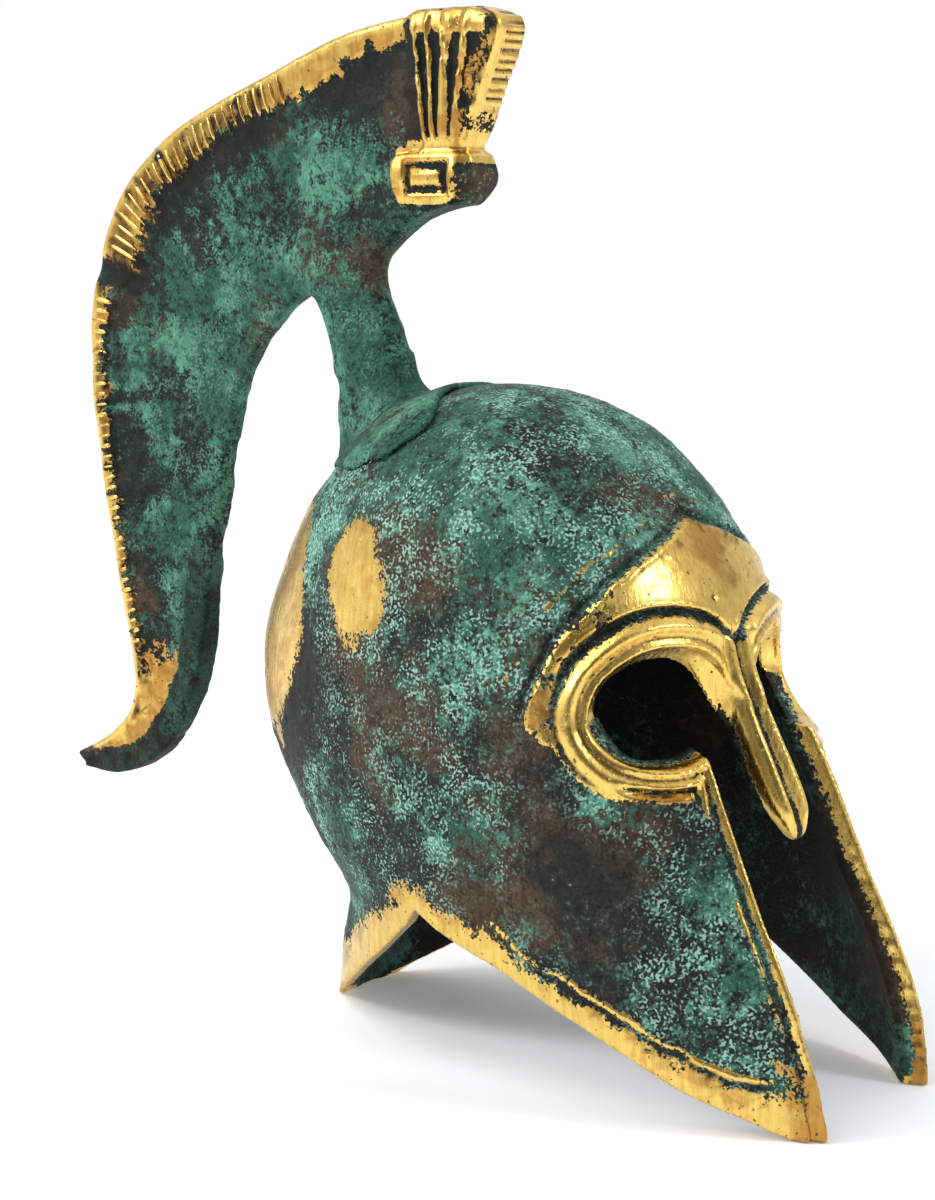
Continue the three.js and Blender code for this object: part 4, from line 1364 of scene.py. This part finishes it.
@dataclass
class BandRibs:
    """Filed ribs across the bright band on both sides of the crest, laid along its edge."""

    crest: CrestOnStem
    pitch: float = 1.02
    wide: float = 0.26
    proud: float = 0.27
    seed: int = 12
    # first and last section number of each ribbed stretch
    stretches: Rows = ((2.9, 6.95), (7.75, 12.4))

    def paths(self) -> bpy.types.Object:
        """Makes the lines that the ribs stand on, which carry each rib's directions."""
        crest = self.crest
        numbers = np.linspace(0, len(crest.sections) - 1, len(crest.outer))
        towards = np.gradient(crest.outer, axis=0)
        towards /= np.linalg.norm(towards, axis=1)[:, None]
        inward = np.stack([towards[:, 1], -towards[:, 0]], axis=1)
        inward *= np.sign(np.sum(inward * (crest.inner - crest.outer), axis=1))[:, None]
        width = column(crest.band_widths, 1, numbers)
        middle = crest.outer + inward * (0.5 * width + 0.15)[:, None]
        points, edges, length, across = [], [], [], []
        for name, side in (("half_right", -1), ("half_left", 1)):
            placed = np.column_stack([np.zeros(len(middle)), middle])
            placed[:, 0] = side * (crest.read_side(name, placed) - 0.04)
            for first, last in self.stretches:
                kept = (numbers >= first) & (numbers <= last)
                start = len(points)
                points.extend(placed[kept])
                length.extend(width[kept] / 2)
                across.extend((0, *pair, side) for pair in inward[kept])
                edges.extend((i, i + 1) for i in range(start, len(points) - 1))
        mesh = bpy.data.meshes.new("crest_band_ribs")
        mesh.from_pydata((np.array(points) - [0, HALF_LENGTH, 0]) * MM, edges, [])
        named = {"inward": [a[:3] for a in across], "sideways": [(a[3], 0, 0) for a in across]}
        for name, values in named.items():
            layer = mesh.attributes.new(name, "FLOAT_VECTOR", "POINT")
            layer.data.foreach_set("vector", np.array(values, np.float32).ravel())
        layer = mesh.attributes.new("reach", "FLOAT", "POINT")
        layer.data.foreach_set("value", np.array(length, np.float32) * MM)
        return new_object("crest_band_ribs", mesh)

    def tree(self, finish: bpy.types.Material) -> bpy.types.NodeTree:
        """Wires the node tree that sets a rib at every pitch along its input's lines."""
        tree = bpy.data.node_groups.new("band_ribs", "GeometryNodeTree")
        sockets = (
            ("Lines", "NodeSocketGeometry"), ("Pitch", "NodeSocketFloat"),
            ("Half Width", "NodeSocketFloat"), ("Height", "NodeSocketFloat"),
            ("Seed", "NodeSocketInt"),
        )
        for name, kind in sockets:
            tree.interface.new_socket(name, in_out="INPUT", socket_type=kind)
        tree.interface.new_socket("Ribs", in_out="OUTPUT", socket_type="NodeSocketGeometry")
        graph = Wiring(tree)
        given = graph.add("NodeGroupInput").outputs
        curve = graph.add("GeometryNodeMeshToCurve")
        graph.link(given["Lines"], curve.inputs["Mesh"])
        spaced = graph.add("GeometryNodeResampleCurve")
        spaced.mode = "LENGTH"
        graph.link(curve.outputs["Curve"], spaced.inputs["Curve"])
        graph.link(given["Pitch"], spaced.inputs["Length"])
        rib = graph.add("GeometryNodeMeshUVSphere")
        rib.inputs["Segments"].default_value = 8
        rib.inputs["Rings"].default_value = 7
        rib.inputs["Radius"].default_value = 1
        turn = graph.add("FunctionNodeAxesToRotation")
        turn.primary_axis, turn.secondary_axis = "X", "Z"
        graph.link(graph.named("inward", "FLOAT_VECTOR"), turn.inputs["Primary Axis"])
        graph.link(graph.named("sideways", "FLOAT_VECTOR"), turn.inputs["Secondary Axis"])
        size = graph.add("ShaderNodeCombineXYZ")
        parts = (
            (graph.named("reach", "FLOAT"), 0.72, 1.12),
            (given["Half Width"], 0.6, 1.25),
            (given["Height"], 0.5, 1.1),
        )
        for offset, (socket, (value, least, most)) in enumerate(zip(size.inputs, parts)):
            varied = graph.add("FunctionNodeRandomValue")
            varied.inputs[2].default_value, varied.inputs[3].default_value = least, most
            graph.link(graph.sum(given["Seed"], offset), varied.inputs["Seed"])
            graph.link(graph.product(value, varied.outputs[1]), socket)
        laid = graph.add("GeometryNodeInstanceOnPoints")
        graph.link(spaced.outputs["Curve"], laid.inputs["Points"])
        graph.link(rib.outputs["Mesh"], laid.inputs["Instance"])
        graph.link(turn.outputs["Rotation"], laid.inputs["Rotation"])
        graph.link(size.outputs["Vector"], laid.inputs["Scale"])
        real = graph.add("GeometryNodeRealizeInstances")
        graph.link(laid.outputs["Instances"], real.inputs["Geometry"])
        dressed = graph.add("GeometryNodeSetMaterial")
        dressed.inputs["Material"].default_value = finish
        graph.link(real.outputs["Geometry"], dressed.inputs["Geometry"])
        out = graph.add("NodeGroupOutput")
        graph.link(dressed.outputs["Geometry"], out.inputs["Ribs"])
        return tree

    def build(self, finish: bpy.types.Material) -> bpy.types.Object:
        """Makes the ribs' piece with its wear stored on it."""
        made = self.paths()
        modifier = made.modifiers.new("band_ribs", "NODES")
        modifier.node_group = self.tree(finish)
        sizes = {
            "Pitch": self.pitch * MM, "Half Width": self.wide * MM,
            "Height": self.proud * MM, "Seed": self.seed,
        }
        for item in modifier.node_group.interface.items_tree:
            if item.name in sizes:
                modifier[item.identifier] = sizes[item.name]
        settle(made)
        made.data.polygons.foreach_set("use_smooth", np.ones(len(made.data.polygons), bool))
        points = corners_of(made)
        ragged = Grain(45, 2.2).at(points)
        store(made, Wear.POLISH, smooth_step(-0.75, -0.35, ragged))
        store(made, Wear.CREVICE, 0.5 * smooth_step(0.35, 0.75, ragged))
        store(made, Wear.VERDIGRIS, np.full(len(points), 0.5))
        store(made, Wear.STAIN, smooth_step(0.0, 0.7, Grain(46, 1.5).at(points)))
        store(made, Wear.INNER_SHADE, np.zeros(len(points)))
        return made


# Finishes


@dataclass(frozen=True)
class BronzeFinish:
    """Cast bronze with patina where it is weathered and bright metal where it is rubbed."""

    name: str
    dark: tuple[float, float, float]
    brown: tuple[float, float, float]
    teal: tuple[float, float, float]
    pale_teal: tuple[float, float, float]
    speck: tuple[float, float, float]
    gold: tuple[float, float, float] = (0.87, 0.585, 0.150)
    stain: tuple[float, float, float] = (0.50, 0.260, 0.060)
    dirt: tuple[float, float, float] = (0.010, 0.010, 0.008)
    scorch: tuple[float, float, float] = (0.10, 0.055, 0.022)
    green_bias: float = 0.0
    speck_amount: float = 0.9
    brown_from: float = 0.52

    def material(self) -> bpy.types.Material:
        """Makes the material, which reads the wear stored on the piece."""
        made = bpy.data.materials.new(self.name)
        made.use_nodes = True
        tree = made.node_tree
        tree.nodes.clear()
        graph = Wiring(tree)
        place = graph.add("ShaderNodeTexCoord").outputs["Object"]
        broad = graph.noise(place, 85, 4, 0.55)
        middling = graph.noise(place, 290, 6, 0.6)
        fine = graph.noise(place, 1100, 5, 0.65)
        grit = graph.noise(place, 3400, 2, 0.5)
        crevice, stained = graph.stored(Wear.CREVICE), graph.stored(Wear.STAIN)
        skin = self.patina(graph, place, (broad, middling, fine, grit))
        skin = graph.blend(graph.scaled(crevice, 0.9, 0), skin, self.dirt)

        polish = graph.stored(Wear.POLISH)
        fray = graph.sum(graph.scaled(fine, 2.6, -1.3), graph.scaled(grit, 2.4, -1.2))
        fray = graph.sum(fray, graph.scaled(middling, 1.8, -0.9))
        halfway = graph.product(polish, graph.scaled(polish, -1, 1))
        ragged = graph.sum(polish, graph.product(fray, graph.scaled(halfway, 2.6, 0.3)))
        ragged = graph.sum(ragged, graph.scaled(crevice, -0.55, 0))
        bright = graph.ramp(ragged, 0.42, 0.58)
        spots = graph.ramp(graph.noise(place, 1900, 1, 0.5), 0.30, 0.25)
        bright = graph.product(bright, graph.scaled(spots, -0.75, 1))
        tarnish = graph.sum(stained, graph.scaled(middling, 2.4, -1.2))
        tarnish = graph.sum(tarnish, graph.scaled(fine, 1.2, -0.6))
        tarnish = graph.ramp(tarnish, 0.1, 1.0)
        metal = graph.blend(tarnish, self.gold, self.stain)
        stretched = graph.add("ShaderNodeMapping")
        stretched.inputs["Rotation"].default_value = (math.radians(35), 0, 0)
        stretched.inputs["Scale"].default_value = (1, 1, 0.07)
        graph.link(place, stretched.inputs["Vector"])
        scratches = graph.noise(stretched.outputs["Vector"], 2600, 2, 0.6)
        tone = graph.sum(graph.scaled(middling, 0.7, 0.3), graph.scaled(scratches, 0.7, 0))
        metal = graph.multiply_colour(metal, tone)
        metal = graph.blend(graph.ramp(crevice, 0.15, 1.0), metal, self.scorch)

        shader = graph.add("ShaderNodeBsdfPrincipled")
        shader.inputs["Specular IOR Level"].default_value = 0.22
        graph.link(graph.blend(bright, skin, metal), shader.inputs["Base Color"])
        graph.link(graph.scaled(bright, 0.9, 0.1), shader.inputs["Metallic"])
        rough = graph.sum(graph.scaled(bright, -0.36, 0.58), graph.scaled(fine, 0.2, -0.06))
        rough = graph.sum(rough, graph.scaled(tarnish, 0.08, 0))
        graph.link(rough, shader.inputs["Roughness"])
        grain = graph.sum(graph.scaled(fine, 0.55, 0), graph.scaled(grit, 0.45, 0))
        grain = graph.product(grain, graph.scaled(bright, -0.88, 1))
        grain = graph.sum(grain, graph.product(graph.scaled(scratches, 0.16, 0), bright))
        relief = graph.add("ShaderNodeBump")
        relief.inputs["Strength"].default_value = 0.7
        relief.inputs["Distance"].default_value = 0.0003
        graph.link(grain, relief.inputs["Height"])
        graph.link(relief.outputs["Normal"], shader.inputs["Normal"])
        out = graph.add("ShaderNodeOutputMaterial")
        graph.link(shader.outputs["BSDF"], out.inputs["Surface"])
        return made

    def patina(
        self,
        graph: Wiring,
        place: bpy.types.NodeSocket,
        noises: tuple[bpy.types.NodeSocket, ...],
    ) -> bpy.types.NodeSocket:
        """Mixes the colour of the weathered skin, with painted shade on the side that faces the hollow.

        Args:
            graph: the wiring of the material's tree.
            place: the object's own coordinates.
            noises: broad, middling, fine and gritty noise.

        Returns:
            The socket that gives the colour.
        """
        broad, middling, fine, grit = noises
        wash = graph.noise(place, 150, 8, 0.72)
        clumps = graph.noise(place, 210, 3, 0.6)
        grains = graph.noise(place, 4000, 0.6, 0.5)
        inner = graph.stored(Wear.INNER_SHADE)
        verdigris = graph.stored(Wear.VERDIGRIS)
        greenness = graph.sum(verdigris, graph.scaled(wash, 2.2, -1.1))
        greenness = graph.sum(greenness, graph.scaled(fine, 2.0, -1.0 + self.green_bias))
        greenness = graph.sum(greenness, graph.scaled(grit, 1.0, -0.5))
        greenness = graph.ramp(greenness, 0.32, 0.84)
        ground = graph.blend(
            graph.ramp(broad, self.brown_from, self.brown_from + 0.1), self.dark, self.brown
        )
        green = graph.blend(graph.ramp(clumps, 0.42, 0.66), self.teal, self.pale_teal)
        skin = graph.blend(greenness, ground, green)
        shade = graph.sum(graph.scaled(grit, 2.0, -0.35), graph.scaled(fine, 2.8, -1.05))
        skin = graph.multiply_colour(skin, shade)
        where = graph.ramp(graph.sum(middling, graph.scaled(clumps, 0.8, -0.4)), 0.32, 0.66)
        speck = graph.sum(grains, graph.scaled(where, 0.14, -0.07))
        speck = graph.product(graph.ramp(speck, 0.58, 0.70), graph.scaled(where, 0.65, 0.35))
        speck = graph.product(speck, graph.ramp(verdigris, 0.12, 0.4))
        # fewer pale specks on the side that faces the hollow, as part of its painted shade
        speck = graph.product(speck, graph.scaled(inner, -0.8, self.speck_amount))
        skin = graph.blend(speck, skin, self.speck)
        # painted shade: the side that faces the hollow is darkened to 0.4 of its colour
        return graph.multiply_colour(skin, graph.scaled(inner, -0.6, 1))


# The photographer's table


@dataclass
class Studio:
    """Pale floor, soft light and the camera at the photograph's viewing angle."""

    azimuth: float = -51.321
    elevation: float = 9.173
    camera_at: tuple[float, float, float] = (-168.342, -91.987, 72.957)
    focal_pixels: float = 2431.0
    frame_height: float = 1200.0
    sensor: float = 36.0
    floor_reach: float = 6.0
    paper: tuple[float, float, float, float] = (0.93, 0.945, 0.97, 1)
    cool_white: tuple[float, float, float, float] = (0.96, 0.98, 1.0, 1)
    # where the lamps point, in metres
    aimed_at: tuple[float, float, float] = (0, 0, 0.04)
    # direction of the dark side of the room, from the helmet
    dark_side: tuple[float, float, float] = (-0.80, -0.55, 0.22)

    def place_camera(self) -> None:
        """Makes the camera and gives it to the scene."""
        data = bpy.data.cameras.new("camera")
        data.sensor_fit = "AUTO"
        data.sensor_width = self.sensor
        data.lens = self.focal_pixels * self.sensor / self.frame_height
        data.clip_start = 0.001
        camera = new_object("camera", data)
        x, y, z = self.camera_at
        camera.location = Vector((x, y - HALF_LENGTH, z)) * MM
        camera.rotation_euler = (
            math.radians(90 - self.elevation), 0, math.radians(self.azimuth),
        )
        bpy.context.scene.camera = camera

    def floor(self) -> None:
        """Makes the pale floor."""
        size = self.floor_reach
        mesh = bpy.data.meshes.new("floor")
        corners = [(-size, -size, 0), (size, -size, 0), (size, size, 0), (-size, size, 0)]
        mesh.from_pydata(corners, [], [(0, 1, 2, 3)])
        made = new_object("floor", mesh)
        paper = bpy.data.materials.new("white_paper")
        paper.use_nodes = True
        shader = paper.node_tree.nodes["Principled BSDF"]
        shader.inputs["Base Color"].default_value = self.paper
        shader.inputs["Roughness"].default_value = 0.8
        shader.inputs["Specular IOR Level"].default_value = 0.1
        shader.inputs["Emission Color"].default_value = self.cool_white
        shader.inputs["Emission Strength"].default_value = 0.16
        mesh.materials.append(paper)

    def lamp(
        self, name: str, kind: str, at: tuple[float, float, float], size: float, power: float
    ) -> None:
        """Makes a soft light that faces the helmet."""
        data = bpy.data.lights.new(name, kind)
        data.energy = power
        if kind == "SUN":
            data.angle = size
        else:
            data.size = size
        lamp = new_object(name, data)
        lamp.location = at
        aim = Vector(self.aimed_at) - Vector(at)
        lamp.rotation_euler = aim.to_track_quat("-Z", "Y").to_euler()

    def room(self) -> None:
        """Makes the room: white behind the helmet, with a darker side that the metal mirrors."""
        world = bpy.data.worlds.new("studio")
        world.use_nodes = True
        tree = world.node_tree
        tree.nodes.clear()
        graph = Wiring(tree)
        way = graph.add("ShaderNodeTexCoord").outputs["Generated"]
        towards = graph.add("ShaderNodeVectorMath")
        towards.operation = "DOT_PRODUCT"
        graph.link(way, towards.inputs[0])
        towards.inputs[1].default_value = Vector(self.dark_side).normalized()
        shade = graph.ramp(towards.outputs["Value"], 0.30, 0.90)
        patches = graph.ramp(graph.noise(way, 2.2, 2, 0.5), 0.42, 0.60)
        shade = graph.sum(graph.scaled(shade, -0.55, 0.98), graph.scaled(patches, -0.38, 0))
        soft = graph.add("ShaderNodeBackground")
        soft.inputs["Color"].default_value = self.cool_white
        graph.link(shade, soft.inputs["Strength"])
        white = graph.add("ShaderNodeBackground")
        white.inputs["Color"].default_value = (1.0, 1.0, 1.0, 1)
        seen = graph.add("ShaderNodeLightPath").outputs["Is Camera Ray"]
        either = graph.add("ShaderNodeMixShader")
        graph.link(seen, either.inputs["Fac"])
        graph.link(soft.outputs["Background"], either.inputs[1])
        graph.link(white.outputs["Background"], either.inputs[2])
        out = graph.add("ShaderNodeOutputWorld")
        graph.link(either.outputs["Shader"], out.inputs["Surface"])
        bpy.context.scene.world = world

    def build(self) -> None:
        """Sets up the whole table."""
        self.place_camera()
        self.floor()
        self.room()
        self.lamp("window", "SUN", (-0.5, 0.35, 0.9), math.radians(50), 1.1)
        self.lamp("left_box", "AREA", (-0.30, 0.22, 0.26), 0.10, 0.55)
        self.lamp("right_box", "AREA", (0.12, -0.36, 0.30), 0.08, 0.45)
        bpy.context.scene.view_settings.view_transform = "Standard"


def dress(piece: bpy.types.Object, finish: bpy.types.Material) -> None:
    """Gives a piece its finish and lets it ride on the helmet."""
    piece.data.materials.clear()
    piece.data.materials.append(finish)
    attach(piece, "root")
    log.info("%s: %d faces", piece.name, len(piece.data.polygons))


def main() -> None:
    """Builds the helmet piece by piece."""
    logging.basicConfig(level=logging.INFO, format="%(message)s")
    Studio().build()
    skull = SkullForm()
    shell_finish = BronzeFinish(
        "shell_bronze_patina",
        dark=(0.020, 0.021, 0.018),
        brown=(0.070, 0.044, 0.025),
        teal=(0.028, 0.090, 0.066),
        pale_teal=(0.100, 0.270, 0.190),
        speck=(0.36, 0.62, 0.52),
    ).material()
    crest_finish = BronzeFinish(
        "crest_bronze_patina",
        dark=(0.014, 0.019, 0.016),
        brown=(0.066, 0.044, 0.026),
        teal=(0.024, 0.088, 0.058),
        pale_teal=(0.080, 0.235, 0.150),
        speck=(0.14, 0.34, 0.27),
        green_bias=0.10,
        speck_amount=0.6,
        brown_from=0.49,
    ).material()
    shell = HelmetShell(skull).build()
    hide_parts("helmet_shell")
    dress(shell, shell_finish)
    crest = CrestOnStem(skull)
    casting = crest.build()
    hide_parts("crest_on_stem")
    dress(casting, crest_finish)
    dress(BandRibs(crest).build(crest_finish), crest_finish)


if __name__ == "__main__":
    main()
